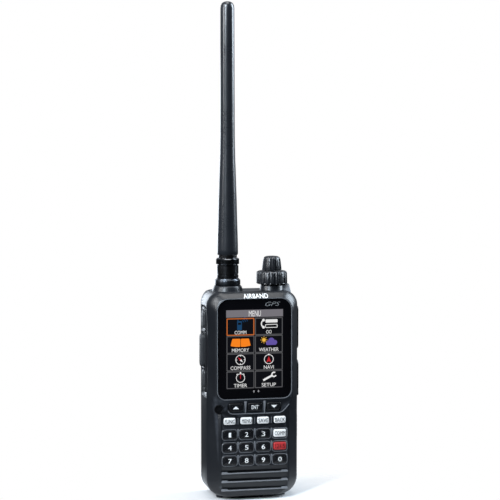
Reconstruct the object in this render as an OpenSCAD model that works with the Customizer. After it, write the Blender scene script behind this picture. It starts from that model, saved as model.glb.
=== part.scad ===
// Handheld aviation radio: front case with display and keypad, rear chassis,
// clip-on battery, top antenna on a bayonet connector, concentric control knobs.
// X is right seen from the front, -Y faces the user, +Z is up, feet at Z = 0.

/* [Case] */
// Half width of the front case
case_half_w = 28.9; // [28.9:0.1:31]
// Height of the case top above the surface it stands on
case_top = 129.5; // [129.5:0.5:131]
// Thickness of the moulded walls
wall = 2.2; // [2:0.1:2.4]
// Corner radius at the top of the case
corner_top = 9; // [8:0.5:10]
// Corner radius at the bottom of the case
corner_bottom = 11; // [10:0.5:12]
// Height of the feet under the case
foot_h = 1.5; // [1:0.1:2]

/* [Display] */
// Half width of the window glass
glass_half_w = 23.2; // [22:0.1:23.3]
// Thickness of the window glass
glass_t = 1.3; // [1:0.1:1.5]

/* [Keypad] */
// Side to side pitch of the key columns
key_pitch = 10.6; // [10.4:0.1:11]
// Travel of a front key
key_travel = 0.8; // [0.4:0.1:0.9]
// How far the front keys stand out of the case
key_proud = 0.9; // [0.5:0.1:1.2]

/* [Antenna] */
// Height of the antenna tip
whip_top = 307.9; // [260:0.1:340]
// Radius of the antenna rod above its taper
whip_r = 4.4; // [3.5:0.05:5]
// Radius of the antenna foot
whip_foot_r = 6.5; // [6.2:0.05:7]

/* [Knobs] */
// Radius of the lower ring knob
ring_r = 9.75; // [9:0.05:10]
// Radius of the upper knob at its foot
knob_r = 6.2; // [5.5:0.05:7]

/* [Hidden] */
$fn = 48;
gap = 0.3;              // clearance between pieces that move past each other
run_gap = 0.05;         // radial clearance of a running fit
seat = 0.1;             // play around a piece that sits in a recess
case_bottom = foot_h;
case_front = -17.5;     // Y of the front face
split_y = 6.5;          // Y of the joint between front case and chassis
plate_back = 8.0;       // Y of the chassis plate's back face
back_y = 17.5;          // Y of the back of chassis hump and battery
shoulder_y = -9.5;      // Y where the front bevel meets the side wall
front_half_w = 24;      // half width of the flat front face
bevel_drop = 4.1;       // height of the sloping band over the display
bevel_in = 4.5;         // depth of the sloping band over the display
chin = 1.5;             // chamfer along the bottom front edge
face_inner = case_front + wall;
ledge = 1.6;            // depth of the recess that holds the glass

axis_y = -2;            // Y of both top axes
antenna_x = -13.8;
knob_x = 14.4;

glass_low = 63.4;
glass_high = 125.2;
glass_top_r = 7;
glass_low_r = 5;

// rows of the keypad, from the bottom row of numbers up to the arrow row
row_z = [25.0, 33.2, 41.3, 49.7, 58.2];
cap_w = [8.6, 8.6, 8.6, 7.7, 8.9];
cap_h = [5.6, 5.6, 5.6, 4.75, 5.0];
arrow_x = 12.1;         // X of the outer keys in the arrow row
flange_rim = 0.5;       // how far a key's flange reaches past its cap
flange_t = 0.5;
cap_back = face_inner + gap;
mat_front = cap_back + flange_t + key_travel + gap;
board_t = 1.0;
mat_t = 1.1;
board_front = -6.0;     // main board
board_back = -4.8;
mesh_t = 0.2;           // thickness of the dust mesh over the speaker
speaker_step = -12.1;   // Y where the speaker's basket meets its magnet
speaker_back = -9.6;
mic_x = -22.6;          // microphone port
mic_z = 57.4;
capsule_x = -20.5;      // the microphone itself, clear of the bevel's inner wall
capsule_r = 2.2;

key_black = [0.05, 0.055, 0.06];
key_white = [0.85, 0.85, 0.83];
key_red = [0.72, 0.06, 0.05];
case_dark = [0.13, 0.14, 0.16];

function column(i) = (i - 1.5) * key_pitch;

// name, X, row, colour
number_keys = [
    ["key_7", column(0), 0, key_black], ["key_8", column(1), 0, key_black],
    ["key_9", column(2), 0, key_black], ["key_0", column(3), 0, key_black],
    ["key_4", column(0), 1, key_black], ["key_5", column(1), 1, key_black],
    ["key_6", column(2), 1, key_black], ["key_emergency", column(3), 1, key_red],
    ["key_1", column(0), 2, key_black], ["key_2", column(1), 2, key_black],
    ["key_3", column(2), 2, key_black], ["key_comm", column(3), 2, key_white],
];
command_keys = [
    ["key_func", column(0), 3, key_white], ["key_menu", column(1), 3, key_white],
    ["key_save", column(2), 3, key_white], ["key_back", column(3), 3, key_white],
    ["key_up", -arrow_x, 4, key_black], ["key_enter", 0, 4, key_black],
    ["key_down", arrow_x, 4, key_black],
];
front_keys = concat(command_keys, number_keys);

// side keys on the left wall: low Z, high Z, how far they stand out
key_y_low = -3.4;
key_y_high = 4.0;
upper_side = [106.2, 117.0, 0.7];
talk_side = [82.0, 102.3, 2.1];
lower_side = [68.8, 79.9, 0.7];
side_window = [66.0, 119.4];
side_window_y = [-4.8, 5.2];
side_flange = 0.8;
side_wall_in = case_half_w - wall;
frame_out = case_half_w - 0.3;
frame_in = frame_out - 1.6;

// right side
socket_y = -2.5;
power_z = 75.0;
headset_z = 109.5;
speaker_jack_z = 100.5;
cover_x = case_half_w + 0.1;
cover_t = 1.5;
cover_low = 92.4;
cover_high = 119.0;
cover_screw_z = [95.5, 115.0];
flap_low = 62.5;
flap_high = 85.2;
flap_t = 1.5;
flap_x = case_half_w + gap;

// screws, all the same size
screw_head_r = 2.2;
screw_head_t = 0.9;
screw_r = 1.0;
screw_len = 6.0;
post_r = 2.6;
post_front = -12.0;     // Y where the screw posts grow out of the bevel's inner wall
post_x = 23.0;
post_z = [9.0, 121.5];

// belt clip inserts
clip_x = 8;
clip_z = 114;
insert_r = 2.2;

// feet
foot_x = 20;
foot_r = 2;

// battery
battery_y = plate_back + gap;
battery_top = 99.0;
battery_half_w = 27.8;
back_bevel_y = 13.5;     // Y where the back edges start to slope in
back_bevel_in = 4.0;
cover_plate_t = 1.3;
latch_half_w = 8.6;
latch_top = 5.0;
latch_high_y = 12.8;
latch_travel = 2.5;
tongue_half_w = 4.8;
contact_x = [-9, -3, 3, 9];
contact_z = 90;

// top controls
boss_top = 132.6;
lug_x = [19.9, 25.2];     // guard lug beside the knobs
ring_low = 133.1;
ring_high = 141.3;
knob_low = 141.7;
knob_high = 150.5;
knob_bore = 7.6;         // depth of the upper knob's shaft hole
knob_wall_h = 7.4;       // height of the upper knob's ribbed wall
bushing_r = 3.4;
outer_shaft_r = 2.5;
inner_shaft_r = 1.5;
pot_half = 5.1;
pot_low = 117;
bushing_top = 133.4;
outer_shaft_low = 124;
inner_shaft_low = 120;
shaft_end_gap = 0.3;

// antenna connector
jack_r = 4.8;
jack_top = 145.0;
collar_low = 132.8;
collar_high = 137.1;
sleeve_low = 137.4;
sleeve_step = 145.6;
sleeve_high = 149.7;
neck_r = 5.0;
whip_low = 151.6;
plug_bore_r = 4.05;
jack_low = 119;          // inner end of the jack
socket_floor = 138;      // bottom of the jack's socket
taper_high = 222;        // Z where the whip's taper ends

// ---- shared shapes ----

// rounded rectangle about the origin
module round_rect(w, h, r) {
    square([w - 2 * r, h], center = true);
    square([w, h - 2 * r], center = true);
    for (x = [-1, 1], z = [-1, 1])
        translate([x * (w / 2 - r), z * (h / 2 - r)]) circle(r);
}

// rounded rectangle between two corners
module round_box_2d(low, high, r) {
    translate((low + high) / 2)
        round_rect(high[0] - low[0], high[1] - low[1], r);
}

// an XZ outline given thickness from y0 to y1
module slab(y0, y1) {
    translate([0, y1, 0]) rotate([90, 0, 0]) linear_extrude(y1 - y0) children();
}

// a YZ outline given thickness from x0 to x1
module side_slab(x0, x1) {
    translate([x0, 0, 0]) rotate([90, 0, 90]) linear_extrude(x1 - x0) children();
}

// box between two corners
module block(low, high) {
    translate(low) cube(high - low);
}

// cylinder along Y from y0 to y1
module rod_y(x, z, y0, y1, r) {
    translate([x, y1, z]) rotate([90, 0, 0]) cylinder(h = y1 - y0, r = r);
}

// cylinder along X from x0 to x1
module rod_x(y, z, x0, x1, r) {
    translate([x0, y, z]) rotate([0, 90, 0]) cylinder(h = x1 - x0, r = r);
}

// front view of the case, drawn in by a distance
module case_outline(inset) {
    w = case_half_w - inset;
    rt = corner_top - inset;
    rb = corner_bottom - inset;
    low = case_bottom + inset;
    high = case_top - inset;
    translate([-w, low + rb]) square([2 * w, high - low - rt - rb]);
    translate([-w + rt, high - rt]) square([2 * (w - rt), rt]);
    translate([-w + rb, low]) square([2 * (w - rb), rb]);
    for (s = [-1, 1]) {
        translate([s * (w - rt), high - rt]) circle(rt);
        translate([s * (w - rb), low + rb]) circle(rb);
    }
}

// plan of the case with its bevelled front corners
module case_plan(inset, front, back) {
    w = case_half_w - inset;
    f = front_half_w - inset / 2;
    polygon([[-w, back], [-w, shoulder_y], [-f, front], [f, front], [w, shoulder_y], [w, back]]);
}

// side view of the case with the sloping band at the top
module case_profile(inset, front, back) {
    low = case_bottom + inset;
    high = case_top - inset;
    polygon([
        [front, low + chin], [front + chin, low], [back, low], [back, high],
        [front + bevel_in, high], [front, high - bevel_drop]
    ]);
}

// the case as a block between two Y planes
module case_form(inset, front, back) {
    intersection() {
        slab(front, back) case_outline(inset);
        linear_extrude(case_top) case_plan(inset, front, back);
        side_slab(-case_half_w, case_half_w) case_profile(inset, front, back);
    }
}

// plan of the back half with its sloping back edges
module back_plan(w) {
    linear_extrude(case_top) polygon([
        [-w, 0], [-w, back_bevel_y], [-w + back_bevel_in, back_y],
        [w - back_bevel_in, back_y], [w, back_bevel_y], [w, 0]
    ]);
}

// one screw pointing along -Y, head's outer face at y
module screw_y(x, z, y) {
    rod_y(x, z, y - screw_head_t, y, screw_head_r);
    rod_y(x, z, y - screw_head_t - screw_len, y - screw_head_t, screw_r);
}

// one screw pointing along -X, head's outer face at x
module screw_x(y, z, x) {
    rod_x(y, z, x - screw_head_t, x, screw_head_r);
    rod_x(y, z, x - screw_head_t - screw_len, x - screw_head_t, screw_r);
}

// front view of the window glass, grown by a distance
module window_outline(grow) {
    w = glass_half_w + grow;
    low = glass_low - grow;
    high = glass_high + grow;
    round_box_2d([-w, low + 12], [w, high], glass_top_r);
    round_box_2d([-w, low], [w, high - 12], glass_low_r);
}

// ---- housing ----

module key_hole(k) {
    row = k[2];
    slab(case_front - 1, face_inner + 1) translate([k[1], row_z[row]])
        round_rect(cap_w[row] + 2 * gap, cap_h[row] + 2 * gap, 1.2);
}

module speaker_slots() {
    for (z = [6.4, 11.7, 16.9])
        slab(case_front - 1, face_inner + 1) translate([0, z]) round_rect(41, 1.6, 0.75);
}

module top_bosses() {
    translate([antenna_x, axis_y, case_top]) cylinder(h = collar_low - case_top, r1 = 9.2, r2 = 8.2);
    translate([knob_x, axis_y, case_top]) cylinder(h = boss_top - case_top, r = 7.25);
    slab(axis_y - 3.5, axis_y + 3.5) round_box_2d([lug_x[0], case_top - 3], [lug_x[1], boss_top], 0.9);
}

module top_bores() {
    translate([antenna_x, axis_y, case_top - 5]) cylinder(h = 10, r = jack_r + run_gap);
    translate([knob_x, axis_y, case_top]) cylinder(h = 5, r = 6.2);
    translate([knob_x, axis_y, case_top - 5]) cylinder(h = 10, r = bushing_r + run_gap);
}

module case_feet() {
    // the middle pad carries the origin
    block([-8.4, -8, 0], [8.4, 5, case_bottom + 0.5]);
    for (x = [-foot_x, foot_x])
        translate([x, -6, 0]) cylinder(h = case_bottom + 1.5, r = foot_r);
}

module side_details() {
    // right side: tether anchor and lower grip rib
    side_slab(case_half_w - 0.5, case_half_w + 0.9) round_box_2d([-6, 56], [1, 60.6], 1);
    side_slab(case_half_w - 0.5, case_half_w + 1.3) round_box_2d([-6, 36], [1, 51], 2);
}

module front_case() {
    color(case_dark) difference() {
        union() {
            difference() {
                case_form(0, case_front, split_y);
                case_form(wall, face_inner, split_y + 1);
            }
            top_bosses();
            case_feet();
            side_details();
            for (x = [-post_x, post_x], z = post_z) rod_y(x, z, post_front, split_y, post_r);
            for (x = [-20.5, 20.5])
                rod_y(x, 64.8, face_inner - 0.2, board_front, 1.7);
        }
        top_bores();
        // recess and opening for the window
        slab(case_front - 1, case_front + ledge) window_outline(seat);
        slab(case_front - 1, face_inner + 1) round_box_2d([-18.8, 69.2], [18.8, 119.2], 0.5);
        for (k = front_keys) key_hole(k);
        speaker_slots();
        // microphone port
        rod_y(mic_x, mic_z, case_front - 1, case_front + 1.2, 2.8);
        rod_y(mic_x + 0.8, mic_z, case_front - 1, face_inner + 1, 0.8);
        // window for the side keys
        side_slab(-case_half_w - 1, -side_wall_in + 1) round_box_2d([side_window_y[0], side_window[0]], [side_window_y[1], side_window[1]], 3);
        // sockets on the right side
        rod_x(socket_y, power_z, side_wall_in - 1, case_half_w + 1, 4.3);
        rod_x(socket_y, headset_z, side_wall_in - 1, case_half_w + 1, 3.3);
        rod_x(socket_y, speaker_jack_z, side_wall_in - 1, case_half_w + 1, 3.0);
        for (z = cover_screw_z)
            rod_x(socket_y, z, side_wall_in - 1, case_half_w + 1, screw_r);
        for (x = [-post_x, post_x], z = post_z)
            rod_y(x, z, split_y - screw_len - 1, split_y + 1, screw_r);
    }
}

module chassis_hump() {
    intersection() {
        slab(plate_back - 0.2, back_y) case_outline(case_half_w - battery_half_w);
        block([-case_half_w, 0, battery_top + 0.5], [case_half_w, back_y, case_top]);
        back_plan(battery_half_w);
    }
}

module rear_chassis() {
    color([0.1, 0.105, 0.115]) difference() {
        union() {
            difference() {
                union() {
                    slab(split_y, plate_back) case_outline(0);
                    chassis_hump();
                }
                // hollow of the hump, open to the inside
                block([-19, split_y - 1, 103.5], [19, 14.8, 126]);
            }
            // bosses that hold the belt clip inserts
            for (x = [-clip_x, clip_x]) rod_y(x, clip_z, 9, back_y, 3.6);
            // posts that clamp the main board
            for (x = [-20.3, 20.3], z = [15.5, 64.8]) rod_y(x, z, board_back, split_y + 0.5, 1.8);
        }
        for (x = [-clip_x, clip_x]) rod_y(x, clip_z, 10.5, back_y + 1, insert_r);
        // groove for the seal
        slab(split_y - 1, split_y + 0.7) difference() {
            case_outline(0.7);
            case_outline(1.5);
        }
        for (x = [-post_x, post_x], z = post_z) {
            rod_y(x, z, split_y - 1, plate_back, screw_r);
            rod_y(x, z, plate_back - screw_head_t, back_y + 1, screw_head_r);
        }
        // pocket for the latch tongue
        block([-tongue_half_w - 0.4, plate_back - 0.9, 2.9], [tongue_half_w + 0.4, plate_back + 1, 5.3]);
        // holes for the battery contacts
        for (x = contact_x) rod_y(x, contact_z, split_y - 1, plate_back + 1, 1.1);
    }
}

module case_seal() {
    color([0.35, 0.36, 0.38]) slab(split_y, split_y + 0.7) difference() {
        case_outline(0.75);
        case_outline(1.45);
    }
}

module window_lens() {
    color([0.02, 0.02, 0.025]) slab(case_front + ledge - glass_t, case_front + ledge) window_outline(0);
}

module side_key_frame() {
    color([0.09, 0.095, 0.105]) side_slab(-frame_out, -frame_in) difference() {
        round_box_2d(
            [side_window_y[0] + seat, side_window[0] + seat],
            [side_window_y[1] - seat, side_window[1] - seat], 2.9);
        for (k = [upper_side, talk_side, lower_side])
            round_box_2d([key_y_low - gap, k[0] - gap], [key_y_high + gap, k[1] + gap], 2);
    }
}

module accessory_cover() {
    color([0.08, 0.085, 0.095]) difference() {
        side_slab(cover_x, cover_x + cover_t) round_box_2d([-7, cover_low], [2, cover_high], 2);
        for (z = cover_screw_z) {
            rod_x(socket_y, z, cover_x - 1, cover_x + 3, 1.1);
            rod_x(socket_y, z, cover_x + cover_t - 0.4, cover_x + 3, screw_head_r + 0.1);
        }
    }
}

module case_screws() {
    color([0.45, 0.46, 0.48]) {
        for (x = [-post_x, post_x], z = post_z) screw_y(x, z, plate_back);
        for (z = cover_screw_z) screw_x(socket_y, z, cover_x + cover_t - 0.4 + screw_head_t);
    }
}

module clip_inserts() {
    color([0.75, 0.6, 0.3]) for (x = [-clip_x, clip_x]) difference() {
        rod_y(x, clip_z, 11, back_y, insert_r);
        rod_y(x, clip_z, 10, back_y + 1, 1.25);
    }
}

// ---- inside ----

module display_module() {
    color([0.12, 0.2, 0.4]) {
        block([-19.8, face_inner, 67.5], [19.8, -12.6, 121]);
        block([-8, -12.7, 90], [8, board_front, 94]);
    }
}

module keypad_outline() {
    difference() {
        round_box_2d([-20.8, 20.3], [20.8, 62.2], 1);
        translate([capsule_x, mic_z]) circle(capsule_r + 1);
    }
}

module keypad_mat() {
    color([0.3, 0.32, 0.35]) slab(mat_front, mat_front + mat_t) keypad_outline();
}

module keypad_board() {
    color([0.05, 0.3, 0.15]) slab(mat_front + mat_t, mat_front + mat_t + board_t) keypad_outline();
}

module main_board() {
    color([0.04, 0.35, 0.16]) {
        block([-22.5, board_front, 13], [22.5, board_back, 116.5]);
        // connector to the keypad board
        block([-6, mat_front + mat_t + board_t, 40], [6, board_front + 0.1, 44]);
    }
}

module shield_can() {
    color([0.7, 0.71, 0.73]) difference() {
        block([-18, board_back, 20], [18, board_back + 3, 86]);
        block([-17.6, board_back - 1, 20.4], [17.6, board_back + 2.6, 85.6]);
    }
}

module gps_patch() {
    color([0.8, 0.75, 0.6]) block([-9, board_back, 97], [9, board_back + 4, 115]);
}

module speaker() {
    color([0.2, 0.2, 0.21]) {
        slab(face_inner + mesh_t, speaker_step) round_box_2d([-18, 5.3], [18, 18.7], 6.6);
        slab(speaker_step - 0.1, speaker_back) round_box_2d([-9, 6], [9, 17.4], 5.6);
    }
}

module speaker_mesh() {
    color([0.15, 0.15, 0.16]) slab(face_inner, face_inner + mesh_t) round_box_2d([-21.4, 5.3], [21.4, 18.8], 2);
}

module microphone() {
    color([0.1, 0.1, 0.1]) rod_y(capsule_x, mic_z, face_inner, -12.9, capsule_r);
}

module side_switch_board() {
    color([0.05, 0.32, 0.16]) {
        block([-24.2, -6.5, 68], [-23.4, 5.2, 118]);
        // connector to the main board
        block([-23.5, board_front, 90], [-22.5, board_back, 96]);
        for (k = [upper_side, talk_side, lower_side])
            rod_x((key_y_low + key_y_high) / 2, (k[0] + k[1]) / 2, -24.5, -24.1, 1.5);
    }
}

module accessory_jack() {
    color([0.12, 0.12, 0.13]) difference() {
        union() {
            block([22.9, -6, 97.2], [side_wall_in, 1, 113.3]);
            rod_x(socket_y, headset_z, side_wall_in - 0.5, case_half_w - 0.2, 3.2);
            rod_x(socket_y, speaker_jack_z, side_wall_in - 0.5, case_half_w - 0.2, 2.9);
        }
        rod_x(socket_y, headset_z, 23.6, case_half_w, 1.75);
        rod_x(socket_y, speaker_jack_z, 23.6, case_half_w, 1.25);
    }
}

module dc_jack() {
    color([0.12, 0.12, 0.13]) {
        difference() {
            union() {
                block([22.9, -6.8, 70.4], [side_wall_in, 1.8, 79.6]);
                rod_x(socket_y, power_z, side_wall_in - 0.5, case_half_w - 0.2, 4.2);
            }
            rod_x(socket_y, power_z, 23.6, case_half_w, 2.75);
        }
        rod_x(socket_y, power_z, 23.5, case_half_w - 1, 0.9);
    }
}

module contact_springs() {
    color([0.85, 0.7, 0.35]) for (x = contact_x) {
        rod_y(x, contact_z, 3.4, plate_back - 0.1, 1.0);
        rod_y(x, contact_z, board_back, 3.5, 1.6);
    }
}

// ---- top controls ----

module control_pot() {
    pot_top = case_top - wall;
    color([0.5, 0.5, 0.52]) translate([knob_x, axis_y, 0]) difference() {
        union() {
            block([-pot_half, -pot_half, pot_low], [pot_half, pot_half, pot_top]);
            translate([0, 0, pot_top - 0.5]) cylinder(h = bushing_top - pot_top + 0.5, r = bushing_r);
        }
        translate([0, 0, outer_shaft_low - shaft_end_gap]) cylinder(h = 12, r = outer_shaft_r + run_gap);
        translate([0, 0, inner_shaft_low - shaft_end_gap]) cylinder(h = 12, r = inner_shaft_r + run_gap);
    }
}

module control_nut() {
    color([0.6, 0.6, 0.62]) translate([knob_x, axis_y, case_top]) difference() {
        cylinder(h = 2.1, r = 5.4, $fn = 6);
        translate([0, 0, -1]) cylinder(h = 5, r = bushing_r);
    }
}

// ribs around a knob: shallow scallops cut into its wall
module scallops(count, radius, low, high) {
    for (i = [0 : count - 1])
        rotate([0, 0, i * 360 / count]) translate([radius, 0, low]) cylinder(h = high - low, r = 0.55, $fn = 16);
}

module channel_ring() {
    color([0.11, 0.115, 0.13]) translate([knob_x, axis_y, 0]) difference() {
        union() {
            translate([0, 0, ring_low]) cylinder(h = 1, r1 = ring_r - 0.6, r2 = ring_r);
            translate([0, 0, ring_low + 1]) cylinder(h = ring_high - ring_low - 2, r = ring_r);
            translate([0, 0, ring_high - 1]) cylinder(h = 1, r1 = ring_r, r2 = ring_r - 0.8);
        }
        translate([0, 0, ring_low - 1]) cylinder(h = 2.4, r = bushing_r + 0.5);
        translate([0, 0, ring_low - 1]) cylinder(h = 20, r = outer_shaft_r);
        scallops(30, ring_r + 0.2, ring_low + 1, ring_high - 1);
    }
}

module channel_shaft() {
    color([0.65, 0.65, 0.67]) translate([knob_x, axis_y, outer_shaft_low]) difference() {
        cylinder(h = ring_high - shaft_end_gap - outer_shaft_low, r = outer_shaft_r);
        translate([0, 0, -1]) cylinder(h = 30, r = inner_shaft_r + run_gap);
    }
}

module volume_knob() {
    color([0.1, 0.105, 0.12]) translate([knob_x, axis_y, 0]) difference() {
        union() {
            translate([0, 0, knob_low]) cylinder(h = knob_wall_h, r1 = knob_r, r2 = knob_r - 0.6);
            translate([0, 0, knob_low + knob_wall_h])
                cylinder(h = knob_high - knob_low - knob_wall_h, r1 = knob_r - 0.6, r2 = knob_r - 1.8);
        }
        translate([0, 0, knob_low - 1]) cylinder(h = knob_bore + 1, r = inner_shaft_r);
        scallops(18, knob_r + 0.15, knob_low + 1, knob_low + knob_wall_h - 1);
    }
}

module volume_shaft() {
    color([0.65, 0.65, 0.67]) translate([knob_x, axis_y, inner_shaft_low])
        cylinder(h = knob_low + knob_bore - inner_shaft_low, r = inner_shaft_r);
}

// ---- antenna ----

module antenna_jack() {
    flange_top = case_top - wall;
    color([0.62, 0.62, 0.64]) translate([antenna_x, axis_y, 0]) {
        difference() {
            union() {
                translate([0, 0, jack_low]) cylinder(h = jack_top - jack_low, r = jack_r);
                translate([0, 0, flange_top - 2]) cylinder(h = 2, r = 5.4);
                // bayonet lugs
                rod_x(0, 142.2, -5.5, 5.5, 0.9);
            }
            translate([0, 0, socket_floor]) cylinder(h = 8, r = plug_bore_r);
        }
        difference() {
            translate([0, 0, socket_floor - 0.1]) cylinder(h = 6, r = 1.1);
            translate([0, 0, socket_floor + 0.2]) cylinder(h = 6, r = 0.7);
        }
        translate([0, 0, jack_low - 3]) cylinder(h = 3.2, r = 0.8);
    }
}

module jack_collar() {
    color([0.2, 0.21, 0.23]) translate([antenna_x, axis_y, 0]) difference() {
        union() {
            translate([0, 0, collar_low]) cylinder(h = 0.8, r1 = 7.5, r2 = 8);
            translate([0, 0, collar_low + 0.8]) cylinder(h = collar_high - collar_low - 1.4, r = 8);
            translate([0, 0, collar_high - 0.6]) cylinder(h = 0.6, r1 = 8, r2 = 7.4);
        }
        translate([0, 0, collar_low - 1]) cylinder(h = 10, r = jack_r);
    }
}

module bayonet_sleeve() {
    color([0.3, 0.31, 0.33]) translate([antenna_x, axis_y, 0]) difference() {
        union() {
            translate([0, 0, sleeve_low]) cylinder(h = sleeve_step - sleeve_low, r = 6.75);
            translate([0, 0, sleeve_step]) cylinder(h = sleeve_high - sleeve_step, r = 7.2);
        }
        translate([0, 0, sleeve_low - 1]) cylinder(h = 9.8, r = 5.9);
        translate([0, 0, sleeve_low]) cylinder(h = 15, r = neck_r + run_gap);
        // grip grooves around the barrel
        for (z = [139.4, 141.6, 143.8]) translate([0, 0, z]) difference() {
            cylinder(h = 0.7, r = 7);
            translate([0, 0, -1]) cylinder(h = 3, r = 6.4);
        }
        scallops(28, 7.45, sleeve_step - 0.1, sleeve_high + 0.1);
    }
}

module antenna_plug() {
    color([0.7, 0.68, 0.6]) translate([antenna_x, axis_y, 0]) {
        difference() {
            union() {
                translate([0, 0, 138.6]) cylinder(h = 7, r = plug_bore_r - 0.1);
                translate([0, 0, 145.3]) cylinder(h = 0.7, r = 5.6);
                translate([0, 0, 145.9]) cylinder(h = 4.2, r = neck_r);
                translate([0, 0, 150.0]) cylinder(h = whip_low - 150.0, r = 5.8);
                translate([0, 0, whip_low - 0.1]) cylinder(h = 6.1, r = 3.5);
            }
            translate([0, 0, 137]) cylinder(h = 8, r = 3.3);
        }
        translate([0, 0, 139.4]) cylinder(h = 6, r = 0.62);
    }
}

module antenna_whip() {
    taper_low = whip_low + 3;
    color([0.09, 0.095, 0.11]) translate([antenna_x, axis_y, 0]) difference() {
        union() {
            translate([0, 0, whip_low]) cylinder(h = 0.8, r1 = whip_foot_r - 0.7, r2 = whip_foot_r);
            translate([0, 0, whip_low + 0.8]) cylinder(h = taper_low - whip_low - 0.8, r = whip_foot_r);
            translate([0, 0, taper_low]) cylinder(h = taper_high - taper_low, r1 = whip_foot_r, r2 = whip_r);
            translate([0, 0, taper_high]) cylinder(h = whip_top - whip_r - taper_high, r = whip_r);
            translate([0, 0, whip_top - whip_r]) sphere(whip_r);
        }
        translate([0, 0, whip_low - 1]) cylinder(h = 7, r = 3.5);
    }
}

// ---- keys ----

module front_key(k) {
    row = k[2];
    w = cap_w[row];
    h = cap_h[row];
    color(k[3]) translate([k[1], 0, row_z[row]]) {
        slab(case_front - key_proud, cap_back + 0.1) round_rect(w, h, 0.9);
        slab(cap_back, cap_back + flange_t) round_rect(w + 2 * flange_rim, h + 2 * flange_rim, 1);
    }
}

// k: low Z, high Z, how far it stands out
module side_key(k) {
    side_slab(-case_half_w - k[2], -frame_in + 0.5) round_box_2d([key_y_low, k[0]], [key_y_high, k[1]], 1.7);
    side_slab(-frame_in + 0.4, -frame_in + 1.0)
        round_box_2d([key_y_low - side_flange, k[0] - side_flange], [key_y_high + side_flange, k[1] + side_flange], 2);
}

module ptt_button() {
    color([0.1, 0.105, 0.115]) side_key(talk_side);
}

module monitor_key() {
    color([0.11, 0.115, 0.125]) side_key(upper_side);
}

module lamp_key() {
    color([0.11, 0.115, 0.125]) side_key(lower_side);
}

// ---- battery ----

module battery_form(y0, y1) {
    w = battery_half_w;
    intersection() {
        slab(y0, y1) {
            round_box_2d([-w, case_bottom], [w, battery_top - 20], corner_bottom - 1);
            round_box_2d([-w, case_bottom + 20], [w, battery_top], 2);
        }
        back_plan(w);
    }
}

module battery_case() {
    front = battery_y + cover_plate_t;
    color([0.1, 0.105, 0.115]) difference() {
        union() {
            battery_form(front, back_y);
            // sill under the cover plate, beside the latch
            intersection() {
                battery_form(battery_y, front + 1);
                block([-25, 0, case_bottom], [25, 20, 5.7]);
            }
            for (x = [-foot_x, foot_x]) translate([x, back_bevel_y, 0]) cylinder(h = case_bottom + 1.5, r = foot_r);
        }
        block([-24, front - 1, 7], [24, 15.9, 96.5]);
        // bay for the latch
        block([-latch_half_w - gap, 0, -1], [latch_half_w + gap, latch_high_y + latch_travel + gap, latch_top + 0.6]);
    }
}

module battery_cover() {
    color([0.12, 0.125, 0.135]) intersection() {
        battery_form(battery_y, battery_y + cover_plate_t);
        block([-30, 0, 5.7], [30, 20, battery_top]);
    }
}

module battery_cells() {
    color([0.3, 0.45, 0.7]) for (x = [-12.1, 12.1])
        slab(battery_y + cover_plate_t, 15.7) translate([x, 50]) round_rect(23.6, 84, 1.5);
}

module battery_terminals() {
    color([0.85, 0.7, 0.35]) for (x = contact_x)
        slab(battery_y - 0.1, battery_y) translate([x, contact_z]) square([4, 5], center = true);
}

module battery_latch() {
    color([0.13, 0.135, 0.15]) {
        block([-latch_half_w, battery_y + 0.2, 1.9], [latch_half_w, latch_high_y, latch_top]);
        // tongue that lies in the chassis pocket
        block([-tongue_half_w, plate_back - 0.6, 3.3], [tongue_half_w, battery_y + 0.3, 4.9]);
        // finger ridge
        block([-latch_half_w, latch_high_y - 3.2, 0.6], [latch_half_w, latch_high_y - 0.2, 2]);
    }
}

// ---- flap over the power socket ----

module dc_flap() {
    hinge_r = flap_t / 2;
    color([0.07, 0.07, 0.075]) {
        side_slab(flap_x, flap_x + flap_t) round_box_2d([-7, flap_low + 4], [2, flap_high], 2);
        block([flap_x, -4.5, flap_low + hinge_r], [flap_x + flap_t, -0.5, flap_low + 6]);
        rod_y(flap_x + hinge_r, flap_low + hinge_r, -4.5, -0.5, hinge_r);
    }
}

front_case();
rear_chassis();
case_seal();
window_lens();
display_module();
keypad_mat();
keypad_board();
main_board();
shield_can();
gps_patch();
speaker();
speaker_mesh();
microphone();
control_pot();
control_nut();
antenna_jack();
jack_collar();
side_key_frame();
side_switch_board();
accessory_jack();
accessory_cover();
dc_jack();
case_screws();
contact_springs();
clip_inserts();
volume_knob();
volume_shaft();
channel_ring();
channel_shaft();
antenna_whip();
antenna_plug();
bayonet_sleeve();
ptt_button();
monitor_key();
lamp_key();
battery_case();
battery_cover();
battery_cells();
battery_terminals();
battery_latch();
dc_flap();
for (k = front_keys)
    front_key(k);
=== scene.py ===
# Handheld aviation radio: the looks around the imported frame.
# Numbers in the dictionaries are millimetres in the frame's own axes.
import math

import bpy
from mathutils import Matrix, Vector


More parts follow.
